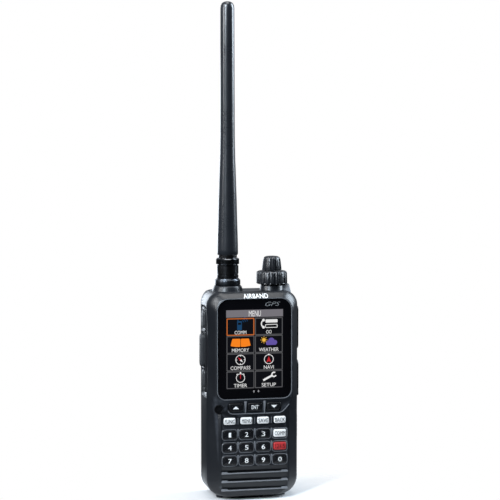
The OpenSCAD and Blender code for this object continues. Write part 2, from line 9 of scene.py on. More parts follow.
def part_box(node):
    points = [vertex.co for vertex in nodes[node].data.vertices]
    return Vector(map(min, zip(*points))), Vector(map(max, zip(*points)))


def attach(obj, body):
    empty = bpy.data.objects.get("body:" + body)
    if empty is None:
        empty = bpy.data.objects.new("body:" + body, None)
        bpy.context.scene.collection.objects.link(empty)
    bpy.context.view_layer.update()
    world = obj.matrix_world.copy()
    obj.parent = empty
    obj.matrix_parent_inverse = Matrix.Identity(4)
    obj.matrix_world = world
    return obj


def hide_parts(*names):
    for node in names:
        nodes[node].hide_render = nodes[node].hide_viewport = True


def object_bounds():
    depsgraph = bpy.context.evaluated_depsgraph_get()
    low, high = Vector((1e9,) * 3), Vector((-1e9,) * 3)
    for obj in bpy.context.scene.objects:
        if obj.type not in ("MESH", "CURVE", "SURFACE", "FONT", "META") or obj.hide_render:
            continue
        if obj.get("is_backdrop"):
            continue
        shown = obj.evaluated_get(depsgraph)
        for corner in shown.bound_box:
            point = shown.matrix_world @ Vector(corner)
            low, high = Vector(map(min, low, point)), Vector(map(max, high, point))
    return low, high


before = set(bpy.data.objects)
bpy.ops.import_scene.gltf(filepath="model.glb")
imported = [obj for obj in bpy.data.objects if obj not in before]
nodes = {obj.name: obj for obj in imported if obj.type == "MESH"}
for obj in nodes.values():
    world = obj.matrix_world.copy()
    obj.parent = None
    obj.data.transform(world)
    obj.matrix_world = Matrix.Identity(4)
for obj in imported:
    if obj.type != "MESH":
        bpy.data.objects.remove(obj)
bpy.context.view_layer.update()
mm = 0.001
scene = bpy.context.scene


def edges(node):  # low and high corner of a CAD node in millimetres
    low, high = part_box(node)
    return low / mm, high / mm


# hands: small moves that every piece is made with

def deselect():
    if bpy.context.object and bpy.context.object.mode != "OBJECT":
        bpy.ops.object.mode_set(mode="OBJECT")
    bpy.ops.object.select_all(action="DESELECT")


def hold(piece):  # only this piece is selected and active
    deselect()
    piece.select_set(True)
    bpy.context.view_layer.objects.active = piece
    return piece


def keep(name):  # names the new primitive and puts its place in its mesh
    piece = bpy.context.object
    piece.name = piece.data.name = name
    bpy.ops.object.transform_apply(location=True, rotation=True, scale=True)
    return piece


def block(name, low, high):
    deselect()
    low, high = Vector(low), Vector(high)
    bpy.ops.mesh.primitive_cube_add(size=1, location=(low + high) / 2 * mm, scale=(high - low) * mm)
    return keep(name)


def choose(piece, kind, test):  # into edit mode with what passes the test selected
    hold(piece)
    mesh = piece.data
    for part in (mesh.vertices, mesh.edges, mesh.polygons):
        part.foreach_set("select", [False] * len(part))
    if kind == "FACE":
        for face in mesh.polygons:
            face.select = bool(test(face.center / mm, face.normal))
    elif kind == "EDGE":
        points = [v.co / mm for v in mesh.vertices]
        for edge in mesh.edges:
            edge.select = bool(test(points[edge.vertices[0]], points[edge.vertices[1]]))
    else:
        for vertex in mesh.vertices:
            vertex.select = bool(test(vertex.co / mm))
    bpy.context.tool_settings.mesh_select_mode = [kind == k for k in ("VERT", "EDGE", "FACE")]
    bpy.ops.object.mode_set(mode="EDIT")


def done():
    bpy.ops.object.mode_set(mode="OBJECT")


def mend(piece):  # doubles merged, faces outward
    choose(piece, "VERT", lambda p: True)
    bpy.ops.mesh.remove_doubles(threshold=0.002 * mm)
    bpy.ops.mesh.normals_make_consistent(inside=False)
    done()
    return piece


def runs(axis, also=lambda a, b: True):  # test for edges that run along one axis
    across = [k for k in range(3) if k != "XYZ".index(axis)]
    return lambda a, b: all(abs(a[k] - b[k]) < 1e-3 for k in across) and also(a, b)


def roundEdges(piece, radius, segments, test):
    choose(piece, "EDGE", test)
    bpy.ops.mesh.bevel(offset=radius * mm, segments=segments, profile=0.5, affect="EDGES")
    done()
    return piece


def apply(piece, kind, **settings):
    hold(piece)
    bpy.ops.object.modifier_add(type=kind)
    modifier = piece.modifiers[-1]
    for key, value in settings.items():
        setattr(modifier, key, value)
    bpy.ops.object.modifier_apply(modifier=modifier.name)
    return piece


def soften(piece, width=0.2, segments=2, angle=35, corner="MITER_ARC"):  # rounds what is still sharp
    return apply(piece, "BEVEL", width=width * mm, segments=segments, limit_method="ANGLE",
                 angle_limit=math.radians(angle), miter_outer=corner)


def cut(piece, *cutters):
    for cutter in cutters:
        apply(piece, "BOOLEAN", operation="DIFFERENCE", solver="EXACT", object=cutter)
        bpy.data.objects.remove(cutter)
    return piece


def join(name, pieces):
    hold(pieces[0])
    for other in pieces[1:]:
        other.select_set(True)
    if len(pieces) > 1:
        bpy.ops.object.join()
    pieces[0].name = pieces[0].data.name = name
    return pieces[0]


def again(piece, name, move=(0, 0, 0)):  # a copy with its own mesh, moved
    other = piece.copy()
    other.data = piece.data.copy()
    other.name = other.data.name = name
    scene.collection.objects.link(other)
    other.data.transform(Matrix.Translation(Vector(move) * mm))
    return other


def rings(start, steps):  # extrudes what is selected through boxes of (y, low x, low z, high x, high z)
    old = start
    for new in steps:
        size = [(new[3] - new[1]) / (old[3] - old[1]), (new[4] - new[2]) / (old[4] - old[2])]
        middle = [Vector(((r[1] + r[3]) / 2, r[0], (r[2] + r[4]) / 2)) for r in (old, new)]
        bpy.ops.mesh.extrude_region_move(TRANSFORM_OT_translate={"value": (middle[1] - middle[0]) * mm})
        bpy.ops.transform.resize(value=(size[0], 1, size[1]), center_override=middle[1] * mm)
        old = new


def turned(name, centre, steps, axis="Z", sides=64):  # a turned shape from (place, radius) steps
    deselect()
    along = "XYZ".index(axis)
    turn = [(0, math.pi / 2, 0), (math.pi / 2, 0, 0), (0, 0, 0)][along]
    place = Vector(centre)
    place[along] = steps[0][0]
    bpy.ops.mesh.primitive_circle_add(vertices=sides, radius=steps[0][1] * mm, fill_type="NGON",
                                      location=place * mm, rotation=turn)
    piece = keep(name)
    choose(piece, "FACE", lambda c, n: True)
    old = steps[0]
    for new in steps[1:]:
        move = Vector((0, 0, 0))
        move[along] = new[0] - old[0]
        place[along] = new[0]
        scale = [new[1] / old[1]] * 3
        scale[along] = 1
        bpy.ops.mesh.extrude_region_move(TRANSFORM_OT_translate={"value": move * mm})
        bpy.ops.transform.resize(value=scale, center_override=place * mm)
        old = new
    done()
    return mend(piece)


def plate(name, low, high, y, radius, front=0.0, segments=8, lowRadius=None):
    # a plate facing the user between two corners (x, z), thick from y[0] to y[1], corners rounded
    piece = block(name, (low[0], y[0], low[1]), (high[0], y[1], high[1]))
    middle = (low[1] + high[1]) / 2
    for top, r in ((True, radius), (False, radius if lowRadius is None else lowRadius)):
        roundEdges(piece, r, segments, runs("Y", lambda a, b: (a.z > middle) == top and abs(a.y - b.y) > 1e-3))
    if front:
        choose(piece, "FACE", lambda c, n: n.y < -0.9)
        bpy.ops.mesh.bevel(offset=front * mm, segments=3, profile=0.5, affect="EDGES")
        done()
    return piece


def frameOf(piece, width, axis=1):  # opens a plate into a frame of that width
    choose(piece, "FACE", lambda c, n: abs(n[axis]) > 0.9)
    bpy.ops.mesh.inset(thickness=width * mm, depth=0)
    bpy.ops.mesh.bridge_edge_loops()
    done()
    return mend(piece)


def smooth(piece, angle=35):
    hold(piece)
    bpy.ops.object.shade_smooth_by_angle(angle=math.radians(angle))
    return piece


def show(piece, body, material, replaces=(), angle=35):  # the last touch on every new piece
    smooth(piece, angle)
    piece.data.materials.clear()
    piece.data.materials.append(material)
    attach(piece, body)
    if replaces:
        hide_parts(*replaces)
    return piece


# finishes

class Wire:  # a socket that takes part in sums
    def __init__(self, paint, socket):
        self.paint, self.socket = paint, socket

    def sum(self, kind, a, b):
        return self.paint.node("Math", {"operation": kind}, {0: a, 1: b})

    def __add__(self, other):
        return self.sum("ADD", self, other)

    def __sub__(self, other):
        return self.sum("SUBTRACT", self, other)

    def __rsub__(self, other):
        return self.sum("SUBTRACT", other, self)

    def __mul__(self, other):
        return self.sum("MULTIPLY", self, other)

    def __gt__(self, other):
        return self.sum("GREATER_THAN", self, other)

    __radd__, __rmul__ = __add__, __mul__


class Paint:
    def __init__(self, name):
        self.material = bpy.data.materials.new(name)
        self.material.use_nodes = True
        self.tree = self.material.node_tree
        self.tree.nodes.clear()
        self.place = self.node("TexCoord", out="Object")

    def node(self, kind, settings=None, sockets=None, out=0):
        made = self.tree.nodes.new("ShaderNode" + kind)
        for key, value in (settings or {}).items():
            if key == "stops":
                while len(made.color_ramp.elements) < len(value):
                    made.color_ramp.elements.new(0.5)
                for stop, (at, shade) in zip(made.color_ramp.elements, value):
                    stop.position, stop.color = at, shade if len(shade) == 4 else (*shade, 1)
            else:
                setattr(made, key, value)
        for key, value in (sockets or {}).items():
            if isinstance(value, Wire):
                self.tree.links.new(value.socket, made.inputs[key])
            else:
                made.inputs[key].default_value = value
        return Wire(self, made.outputs[out] if len(made.outputs) else None)

    def noise(self, scale, detail=2.0, place=None):
        return self.node("TexNoise", None, {"Vector": place or self.place, "Scale": scale, "Detail": detail})

    def blend(self, mask, a, b):
        return self.node("Mix", {"data_type": "RGBA"}, {0: mask, 6: a, 7: b}, out=2)

    def ramp(self, value, *stops):
        return self.node("ValToRGB", {"stops": stops}, {0: value})

    def bump(self, height, distance, strength=1.0, normal=None):
        sockets = {"Height": height, "Distance": distance * mm, "Strength": strength}
        if normal:
            sockets["Normal"] = normal
        return self.node("Bump", None, sockets)

    def finish(self, sockets):
        shader = self.node("BsdfPrincipled", None, sockets)
        self.node("OutputMaterial", None, {"Surface": shader})
        return self.material


def rgb(r, g, b):
    return (r, g, b, 1)


def moulded(name, dark, light, rough, grain=2600, depth=0.02, wearAndHighlight=None, extra=None):
    # moulded plastic or rubber: fine spark grain, faint blotches, sharp edges painted lighter, partly as wear and
    # partly as a painted highlight
    p = Paint(name)
    blotch = p.noise(60, 3)
    fine = p.noise(grain, 2)
    shade = p.blend(blotch, dark, light)
    if wearAndHighlight:
        # sharp edges lightened where pointiness is high: partly wear, partly a painted highlight
        edge = p.ramp(p.node("NewGeometry", out="Pointiness"), (0.52, (0, 0, 0)), (0.62, (1, 1, 1)))
        shade = p.blend(edge * (p.noise(400, 3) * 0.9), shade, wearAndHighlight)
    sockets = {"Base Color": shade, "Roughness": blotch * 0.12 + (rough - 0.06) + fine * 0.06,
               "Normal": p.bump(fine, depth), **(extra or {})}
    return p.finish(sockets)


def metal(name, dark, light, rough, grain=900, extra=None):
    p = Paint(name)
    fine = p.noise(grain, 3)
    return p.finish({"Base Color": p.blend(fine, dark, light), "Metallic": 1.0,
                     "Roughness": fine * 0.15 + (rough - 0.07),
                     "Normal": p.bump(fine, 0.006), **(extra or {})})


def printed(name, colour, rough=0.45, glow=0.0):  # printed or lit legends
    p = Paint(name)
    fine = p.noise(1500, 2)
    shade = p.blend(fine, rgb(*[c * 0.86 for c in colour]), rgb(*colour))
    sockets = {"Base Color": shade, "Roughness": fine * 0.1 + rough}
    if glow:  # lit from behind, so the colour comes from the light
        sockets.update({"Base Color": p.blend(fine, rgb(0.002, 0.002, 0.003), rgb(0.004, 0.004, 0.005)),
                        "Emission Color": shade, "Emission Strength": glow, "Specular IOR Level": 0.12})
    return p.finish(sockets)


# the edge colours given below lighten sharp edges, partly as wear and partly as a painted highlight
caseFinish = moulded("caseFinish", rgb(0.0045, 0.0052, 0.0068), rgb(0.0075, 0.0088, 0.0112), 0.31,
                     wearAndHighlight=rgb(0.05, 0.055, 0.065), extra={"Specular IOR Level": 0.38})
keypadFinish = moulded("keypadFinish", rgb(0.002, 0.0022, 0.0028), rgb(0.0035, 0.0038, 0.0046), 0.34, 3400, 0.012,
                       extra={"Specular IOR Level": 0.3})
# guard lug painted light grey all over: a painted highlight
lugHighlightPaint = moulded("lugHighlightPaint", rgb(0.09, 0.097, 0.108), rgb(0.13, 0.14, 0.155), 0.42, 3000, 0.01)
# light grey on rims, ribs, the tray ridge, louvre bars and the glass lip: a painted highlight standing in for light on
# their small fillets
rimHighlightPaint = moulded("rimHighlightPaint", rgb(0.10, 0.106, 0.117), rgb(0.15, 0.158, 0.172), 0.26, 3400, 0.01)
chassisFinish = moulded("chassisFinish", rgb(0.010, 0.011, 0.013), rgb(0.018, 0.020, 0.024), 0.46, 2200, 0.03,
                        wearAndHighlight=rgb(0.06, 0.065, 0.07))
batteryFinish = moulded("batteryFinish", rgb(0.011, 0.012, 0.014), rgb(0.019, 0.021, 0.024), 0.48, 2000, 0.035,
                        wearAndHighlight=rgb(0.05, 0.055, 0.06))
sideFinish = moulded("sideFinish", rgb(0.006, 0.0066, 0.008), rgb(0.012, 0.013, 0.015), 0.36, 1400, 0.04)
keyFinish = moulded("keyFinish", rgb(0.003, 0.0033, 0.0042), rgb(0.006, 0.0065, 0.008), 0.27, 3000, 0.008)
whiteFinish = moulded("whiteFinish", rgb(0.66, 0.66, 0.65), rgb(0.80, 0.80, 0.79), 0.42, 1800, 0.012)
redFinish = moulded("redFinish", rgb(0.34, 0.018, 0.02), rgb(0.42, 0.03, 0.032), 0.40, 1800, 0.012)
knobFinish = moulded("knobFinish", rgb(0.005, 0.0056, 0.007), rgb(0.010, 0.0112, 0.0135), 0.27, 2600, 0.012,
                     wearAndHighlight=rgb(0.05, 0.055, 0.06))
whipFinish = moulded("whipFinish", rgb(0.008, 0.0095, 0.012), rgb(0.013, 0.015, 0.019), 0.26, 1700, 0.006,
                      extra={"Coat Weight": 0.35, "Coat Roughness": 0.22})
flapFinish = moulded("flapFinish", rgb(0.010, 0.010, 0.011), rgb(0.018, 0.018, 0.019), 0.55, 1500, 0.05)
sealFinish = moulded("sealFinish", rgb(0.05, 0.05, 0.052), rgb(0.09, 0.09, 0.092), 0.6, 1500, 0.03)
gripFinish = moulded("gripFinish", rgb(0.010, 0.011, 0.013), rgb(0.016, 0.018, 0.02), 0.5, 1200, 0.06)
sleeveFinish = metal("sleeveFinish", rgb(0.10, 0.104, 0.112), rgb(0.15, 0.155, 0.165), 0.2, 300)
plugFinish = metal("plugFinish", rgb(0.13, 0.13, 0.135), rgb(0.2, 0.2, 0.21), 0.2, 300)
collarFinish = metal("collarFinish", rgb(0.06, 0.068, 0.08), rgb(0.10, 0.11, 0.124), 0.3)
steelFinish = metal("steelFinish", rgb(0.35, 0.35, 0.37), rgb(0.55, 0.55, 0.57), 0.35)
blackScrewFinish = metal("blackScrewFinish", rgb(0.05, 0.05, 0.055), rgb(0.10, 0.10, 0.11), 0.32)
goldFinish = metal("goldFinish", rgb(0.75, 0.52, 0.18), rgb(0.88, 0.66, 0.28), 0.28)
brassFinish = metal("brassFinish", rgb(0.55, 0.38, 0.14), rgb(0.70, 0.50, 0.20), 0.36)
tinFinish = metal("tinFinish", rgb(0.45, 0.46, 0.48), rgb(0.62, 0.63, 0.65), 0.42, 300)
nickelFinish = metal("nickelFinish", rgb(0.5, 0.49, 0.46), rgb(0.66, 0.65, 0.62), 0.28)
boardFinish = moulded("boardFinish", rgb(0.01, 0.07, 0.03), rgb(0.02, 0.12, 0.05), 0.42, 500, 0.02)
ceramicFinish = moulded("ceramicFinish", rgb(0.55, 0.5, 0.4), rgb(0.65, 0.6, 0.5), 0.5, 900, 0.01)
siliconeFinish = moulded("siliconeFinish", rgb(0.16, 0.17, 0.18), rgb(0.22, 0.23, 0.24), 0.6, 1200, 0.02)
keyGripFinish = moulded("keyGripFinish", rgb(0.010, 0.011, 0.013), rgb(0.022, 0.024, 0.027), 0.46, 1500, 0.05)
cellFinish = moulded("cellFinish", rgb(0.05, 0.12, 0.3), rgb(0.08, 0.17, 0.38), 0.35, 700, 0.01)
darkFinish = moulded("darkFinish", rgb(0.008, 0.008, 0.009), rgb(0.014, 0.014, 0.015), 0.6, 1500, 0.02)
panelFinish = moulded("panelFinish", rgb(0.02, 0.03, 0.05), rgb(0.03, 0.045, 0.07), 0.3, 800, 0.005)
legendWhite = printed("legendWhite", (0.85, 0.86, 0.85))
legendBlack = printed("legendBlack", (0.012, 0.012, 0.014))
legendRed = printed("legendRed", (0.06, 0.003, 0.004))
legendGrey = printed("legendGrey", (0.17, 0.175, 0.18))
glassFinish = moulded("glassFinish", rgb(0.0015, 0.0015, 0.002), rgb(0.003, 0.003, 0.004), 0.07, 40, 0.001,
                      extra={"Specular IOR Level": 0.35})
screenFinishes = {name: printed("screen" + name, colour, 0.3, 1.0) for name, colour in {
    "Black": (0.0012, 0.0012, 0.0018), "Header": (0.19, 0.18, 0.20), "Line": (0.10, 0.10, 0.105),
    "Orange": (1.0, 0.24, 0.01), "Frame": (0.55, 0.14, 0.03), "White": (0.86, 0.86, 0.86),
    "Blue": (0.008, 0.055, 0.14), "Yellow": (0.95, 0.52, 0.06), "Violet": (0.13, 0.09, 0.38),
    "Red": (0.55, 0.02, 0.025), "Grey": (0.35, 0.35, 0.37)}.items()}
print("finishes made")


# front case

shell = {
    "half": 28.9, "low": 1.5, "high": 129.5, "shoulder": -9.5, "back": 6.5,
    "topRadius": 9, "lowRadius": 11,
    # y, half width, low z, high z of each ring from the shoulder to the front
    "crown": [(-10.4, 28.78, 1.5, 129.5), (-12.0, 27.95, 1.52, 129.42), (-13.4, 27.05, 1.65, 129.0),
              (-14.8, 26.1, 1.95, 127.95), (-16.0, 25.3, 2.35, 126.85), (-16.9, 24.7, 2.75, 126.05),
              (-17.35, 24.25, 3.1, 125.6), (-17.5, 23.75, 3.5, 125.35)],
    # the same rings' half widths below the display
    "waist": {-10.4: 28.7, -12.0: 27.3, -13.4: 25.95, -14.8: 24.6, -16.0: 23.3, -16.9: 22.4, -17.35: 21.8, -17.5: 21.2},
    "waistFrom": 63.0, "waistTo": 55.5, "skin": 0.22,
}


def caseShell(name, s):
    half, low, high = s["half"], s["low"], s["high"]
    piece = block(name, (-half, s["shoulder"], low), (half, s["back"], high))
    for top, radius in ((True, s["topRadius"]), (False, s["lowRadius"])):
        roundEdges(piece, radius, 9, runs("Y", lambda a, b: (a.z > 60) == top))
    choose(piece, "FACE", lambda c, n: n.y < -0.9)
    rings((s["shoulder"], -half, low, half, high), [(y, -wide, foot, wide, head) for y, wide, foot, head in s["crown"]])
    done()
    return piece


def narrow(piece, s):  # the front narrows below the display
    for z in (s["waistFrom"], s["waistTo"], 40, 20):
        choose(piece, "FACE", lambda c, n: True)
        bpy.ops.mesh.bisect(plane_co=(0, 0, z * mm), plane_no=(0, 0, 1))
        done()
    for y, wide, low, high in s["crown"]:
        choose(piece, "VERT", lambda p: abs(p.y - y) < 0.02 and p.z < s["waistTo"] + 0.1)
        bpy.ops.transform.resize(value=(s["waist"][y] / wide, 1, 1), center_override=(0, 0, 0))
        done()


frontShell = caseShell("frontShell", shell)
narrow(frontShell, shell)

pinch = {"in": 1.1, "levels": (66.0, 72.0, 79.0, 104.0, 110.5, 116.5), "deep": (0.1, 0.75, 1.0, 1.0, 0.7, 0.1),
         "rings": ((-9.5, 0.8), (-10.4, 1.0), (-12.0, 1.0), (-13.4, 0.85), (-14.8, 0.6), (-16.0, 0.3))}
for z in pinch["levels"]:  # the left bevel dips beside the side keys
    choose(frontShell, "FACE", lambda c, n: True)
    bpy.ops.mesh.bisect(plane_co=(0, 0, z * mm), plane_no=(0, 0, 1))
    done()
for z, share in zip(pinch["levels"], pinch["deep"]):
    for y, part in pinch["rings"]:
        choose(frontShell, "VERT", lambda p: p.x < 0 and abs(p.z - z) < 0.02 and abs(p.y - y) < 0.02)
        bpy.ops.transform.translate(value=(pinch["in"] * share * part * mm, 0, 0))
        done()

# the hollow that the works sit in
inside = {"half": 26.7, "low": 3.7, "high": 127.3, "front": -9.0, "topRadius": 6.8, "lowRadius": 8.8,
          "rings": [(-12.5, -24.3, 4.6, 24.3, 126.2), (-15.2, -21.5, 6.0, 21.5, 124.6)]}
hollow = block("hollow", (-inside["half"], inside["front"], inside["low"]), (inside["half"], 8, inside["high"]))
for top, radius in ((True, inside["topRadius"]), (False, inside["lowRadius"])):
    roundEdges(hollow, radius, 6, runs("Y", lambda a, b: (a.z > 60) == top))
choose(hollow, "FACE", lambda c, n: n.y < -0.9)
rings((inside["front"], -inside["half"], inside["low"], inside["half"], inside["high"]), inside["rings"])
done()
cut(frontShell, hollow)

# scoop on the left for the side keys, its ends sloping out
scoop = {"depth": 1.0, "low": 66.0, "high": 118.0, "slope": 2.6, "front": -8.0}
scoopTall = scoop["high"] - scoop["low"]
dip = block("dip", (-shell["half"] - 1, scoop["front"] - 0.9, scoop["low"] - scoop["slope"]),
            (-shell["half"] + 0.001, 9, scoop["high"] + scoop["slope"]))
choose(dip, "FACE", lambda c, n: n.x > 0.9)
bpy.ops.mesh.extrude_region_move(TRANSFORM_OT_translate={"value": Vector((scoop["depth"], 0.6, 0)) * mm})
bpy.ops.transform.resize(value=(1, 0.95, scoopTall / (scoopTall + 2 * scoop["slope"])),
                         center_override=Vector((0, 1, (scoop["high"] + scoop["low"]) / 2)) * mm)
done()
cut(frontShell, dip)

window = {"half": 23.35, "low": 63.25, "high": 125.33, "topRadius": 7.1, "lowRadius": 5.1, "depth": 1.6,
          "open": (-18.8, 69.2, 18.8, 119.2)}
recess = plate("recess", (-window["half"], window["low"]), (window["half"], window["high"]),
               (-19, -17.5 + window["depth"]), window["topRadius"], lowRadius=window["lowRadius"])
opening = plate("opening", window["open"][:2], window["open"][2:], (-19, -12), 0.5, segments=3)
cut(frontShell, recess, opening)

keys = {  # name: x, z, cap width, cap height
    **{f"key_{n}": (x, z, 8.5, 5.5)
       for z, row in ((41.3, "123"), (33.2, "456"), (25.0, "7890")) for x, n in zip((-15.9, -5.3, 5.3, 15.9), row)},
    "key_comm": (15.9, 41.3, 7.9, 4.7), "key_emergency": (15.9, 33.2, 7.9, 4.7),
    **{f"key_{n}": (x, 49.9, 7.3, 4.2)
       for x, n in zip((-15.9, -5.3, 5.3, 15.9), ("func", "menu", "save", "back"))},
    "key_up": (-12.1, 58.2, 8.7, 4.9), "key_enter": (0, 58.2, 8.7, 4.9), "key_down": (12.1, 58.2, 8.7, 4.9),
}
wells = [plate("well", (x - width / 2 - 0.4, z - height / 2 - 0.4), (x + width / 2 + 0.4, z + height / 2 + 0.4),
               (-19, -14), 1.5, segments=4) for x, z, width, height in keys.values()]
cut(frontShell, join("wells", wells))

# louvres over the speaker: a sloping dip that ends on a ledge, with a slot behind; the bars on the ledges are painted
# light grey as a painted highlight
louvre = {"at": (6.9, 12.2, 17.5), "half": 20.9, "rise": 3.9, "depth": 1.15, "slot": 0.9}
cutters = []
for z in louvre["at"]:
    dip = block("louvre", (-louvre["half"], -18.5, z - 0.05),
                (louvre["half"], -17.5 + louvre["depth"], z + louvre["rise"]))
    choose(dip, "VERT", lambda p: p.y > -17 and p.z > z + 1)
    bpy.ops.transform.translate(value=(0, 0, -(louvre["rise"] - louvre["slot"]) * mm))
    done()
    choose(dip, "VERT", lambda p: p.y < -18 and p.z > z + 1)
    bpy.ops.transform.translate(value=(0, 0, 2.0 * mm))
    done()
    slot = block("slot", (-louvre["half"] + 1, -17, z + 0.1), (louvre["half"] - 1, -11, z + louvre["slot"]))
    cutters += [dip, slot]
for cutter in cutters:
    cut(frontShell, cutter)

port = {"x": -22.6, "z": 57.4, "steps": [(-17.2, 2.95), (-17.75, 2.75), (-17.75, 2.4), (-16.4, 2.1), (-16.35, 0.95),
                                         (-16.9, 0.75), (-17.05, 0.35)]}
cut(frontShell, turned("portHole", (port["x"], 0, port["z"]), [(-19, 2.45), (-16.2, 2.2)], "Y", 40))
cut(frontShell, turned("bore", (-13.8, -2, 0), [(124, 4.9), (131, 4.9)], "Z", 40))
print("shell cut")
sideHoles = {"low": (-32, -4.8, 66.0), "high": (-26, 5.2, 119.4), "jacks": ((75.0, 4.3), (109.5, 3.3), (100.5, 3.0))}
cut(frontShell, roundEdges(block("sideWindow", sideHoles["low"], sideHoles["high"]), 3, 5, runs("X")))
for z, radius in sideHoles["jacks"]:
    cut(frontShell, turned("jackHole", (0, -2.5, z), [(25, radius), (30, radius)], "X", 40))
soften(mend(frontShell), shell["skin"], 2, 40)
show(frontShell, "radio", caseFinish, ["front_case"], 40)
print("front case")


# window and display

glass = {"edge": 0.3, "topRadius": 7, "lowRadius": 5, "lip": 0.42, "lipProud": 0.3}
low, high = edges("window_lens")
windowGlass = plate("windowGlass", (low.x, low.z), (high.x, high.z), (low.y, high.y), glass["topRadius"],
                    glass["edge"], 10, glass["lowRadius"])
show(windowGlass, "radio", glassFinish, ["window_lens"])
glassFace = low.y
grow = glass["lip"] + 0.12
glassLip = plate("glassLip", (low.x - grow, low.z - grow), (high.x + grow, high.z + grow),
                 (-17.5 - glass["lipProud"], -16.9), glass["topRadius"] + grow, 0, 10, glass["lowRadius"] + grow)
# the glass lip painted light grey as a painted highlight
show(soften(frameOf(glassLip, glass["lip"]), 0.1, 2), "radio", rimHighlightPaint)


def word(name, text, x, z, width, height, y, slant=0.0, thick=0.05):  # a flat word facing the user
    deselect()
    bpy.ops.object.text_add(location=(0, 0, 0))
    made = bpy.context.object
    made.data.body, made.data.shear = text, slant
    made.data.extrude = 0.01
    made.data.resolution_u = 3
    bpy.ops.object.convert(target="MESH")
    points = [v.co.copy() for v in made.data.vertices]
    lows = [min(p[k] for p in points) for k in range(3)]
    highs = [max(p[k] for p in points) for k in range(3)]
    size = [highs[k] - lows[k] for k in range(3)]
    made.scale = stretch = (width * mm / size[0], height * mm / size[1], thick * mm / size[2])
    bpy.ops.object.transform_apply(location=False, rotation=False, scale=True)
    middle = [(lows[k] + highs[k]) / 2 * stretch[k] for k in range(3)]
    made.rotation_euler = (math.pi / 2, 0, 0)
    made.location = (x * mm - middle[0], (y - thick / 2) * mm, z * mm - middle[1])
    return keep(name)


def bar(x, z, width, height, radius=0.0, level=0.0):  # a lit patch on the display
    y = glassFace - 0.02 - level
    if radius:
        return plate("bar", (x - width / 2, z - height / 2), (x + width / 2, z + height / 2), (y - 0.02, y), radius,
                     segments=3)
    return block("bar", (x - width / 2, y - 0.02, z - height / 2), (x + width / 2, y, z + height / 2))


def disc(x, z, radius, sides=24, level=0.0):
    y = glassFace - 0.02 - level
    return turned("disc", (x, 0, z), [(y, radius), (y - 0.02, radius)], "Y", sides)


def ringOf(x, z, radius, width, sides=32, level=0.0):
    return frameOf(disc(x, z, radius, sides, level), width)


def lean(piece, x, z, degrees):  # turned about a point of the display, anticlockwise seen by the user
    choose(piece, "VERT", lambda p: True)
    bpy.ops.transform.rotate(value=math.radians(degrees), orient_axis="Y", center_override=Vector((x, 0, z)) * mm)
    done()
    return piece


def shaped(piece, move):  # moves corners that the function picks: point -> (dx, dz)
    for vertex in piece.data.vertices:
        shift = move(vertex.co / mm)
        vertex.co += Vector((shift[0], 0, shift[1])) * mm
    return piece


def without(piece, test):  # takes the faces away that pass the test
    choose(piece, "FACE", test)
    bpy.ops.mesh.delete(type="FACE")
    done()
    return piece


screen = {"left": -17.95, "right": 17.95, "low": 69.75, "high": 118.6, "header": 4.9, "margin": 0.3,
          "tileHalf": 8.75, "tileGap": 0.12, "line": 0.5, "frame": 0.62}
screenTop = screen["high"] - screen["header"]
rowPitch = (screenTop - screen["low"]) / 4
tileX = [screen["left"] / 2, screen["right"] / 2]
tileZ = [screenTop - rowPitch * (i + 0.5) for i in range(4)]
lit = {name: [] for name in screenFinishes}
margin = screen["margin"]
lit["Black"].append(block("bar", (screen["left"] - margin, glassFace - 0.02, screen["low"] - margin),
                          (screen["right"] + margin, glassFace + 0.1, screen["high"] + margin)))
lit["Header"].append(bar(0, screen["high"] - screen["header"] / 2 + 0.2, screen["right"] - screen["left"],
                         screen["header"] - 0.4))
for i, z in enumerate(tileZ):
    for j, x in enumerate(tileX):
        picked = i + j == 0  # the first tile is the chosen one
        rise = rowPitch / 2 - screen["tileGap"]
        tile = plate("tile", (x - screen["tileHalf"], z - rise), (x + screen["tileHalf"], z + rise),
                     (glassFace - (0.06 if picked else 0.04), glassFace - 0.02), 0.35, segments=2)
        lit["Frame" if picked else "Line"].append(frameOf(tile, screen["frame" if picked else "line"]))
tileWords = {"COMM": 7.4, "OO": 3.5, "MEMORY": 10.8, "WEATHER": 12.5, "COMPASS": 12.5, "NAVI": 6.3, "TIMER": 8.4,
             "SETUP": 9.0}  # word: width
for i, (text, width) in enumerate(tileWords.items()):
    x, z = tileX[i % 2], tileZ[i // 2]
    lit["White"].append(word("bar", text, x, z - 3.5, width, 2.2, glassFace - 0.02))
lit["White"].append(word("bar", "MENU", 0.1, screen["high"] - 2.35, 7.6, 3.5, glassFace - 0.05))

x, z = tileX[0] - 0.6, tileZ[0] + 1.05  # handset with waves
lit["Blue"] += [bar(x, z - 0.3, 3.0, 5.6, 0.5), bar(x - 1.0, z + 2.9, 0.7, 1.0)]
lit["Black"].append(bar(x, z + 0.9, 2.0, 1.3, level=0.03))
for radius in (1.5, 2.7, 3.9):
    lit["Blue"].append(without(ringOf(x + 1.4, z + 1.5, radius, 0.42), lambda c, n: not (
        math.radians(12) <= math.atan2(c.z - (z + 1.5), c.x - (x + 1.4)) <= math.radians(78))))

x, z = tileX[1] + 1.7, tileZ[0] + 1.7  # call with two bars
lit["White"] += [bar(x, z + 1.5, 7.6, 2.0, 0.3), frameOf(bar(x - 0.1, z - 1.6, 7.8, 2.3, 0.6), 0.4)]
arc = without(ringOf(x - 3.9, z - 0.1, 2.9, 0.75), lambda c, n: c.x > x - 5.3)
lit["White"] += [arc, disc(x - 5.1, z + 2.1, 0.85, 12), disc(x - 5.1, z - 2.3, 0.85, 12)]

x, z = tileX[0] + 0.1, tileZ[1] + 1.2  # open book
for side in (-1, 1):
    page = bar(x + side * 2.75, z, 5.2, 4.9, 0.5)
    choose(page, "FACE", lambda c, n: True)
    bpy.ops.mesh.bisect(plane_co=((x + side * 2.75) * mm, 0, 0), plane_no=(1, 0, 0))
    done()
    lit["Orange"].append(shaped(page, lambda p: (side * 0.9 if p.z < z and abs(p.x - x) > 2.9 else 0,
                                                 (0.35 if abs(p.x - x) > 2.9 else -0.15) if p.z < z else 0.0)))

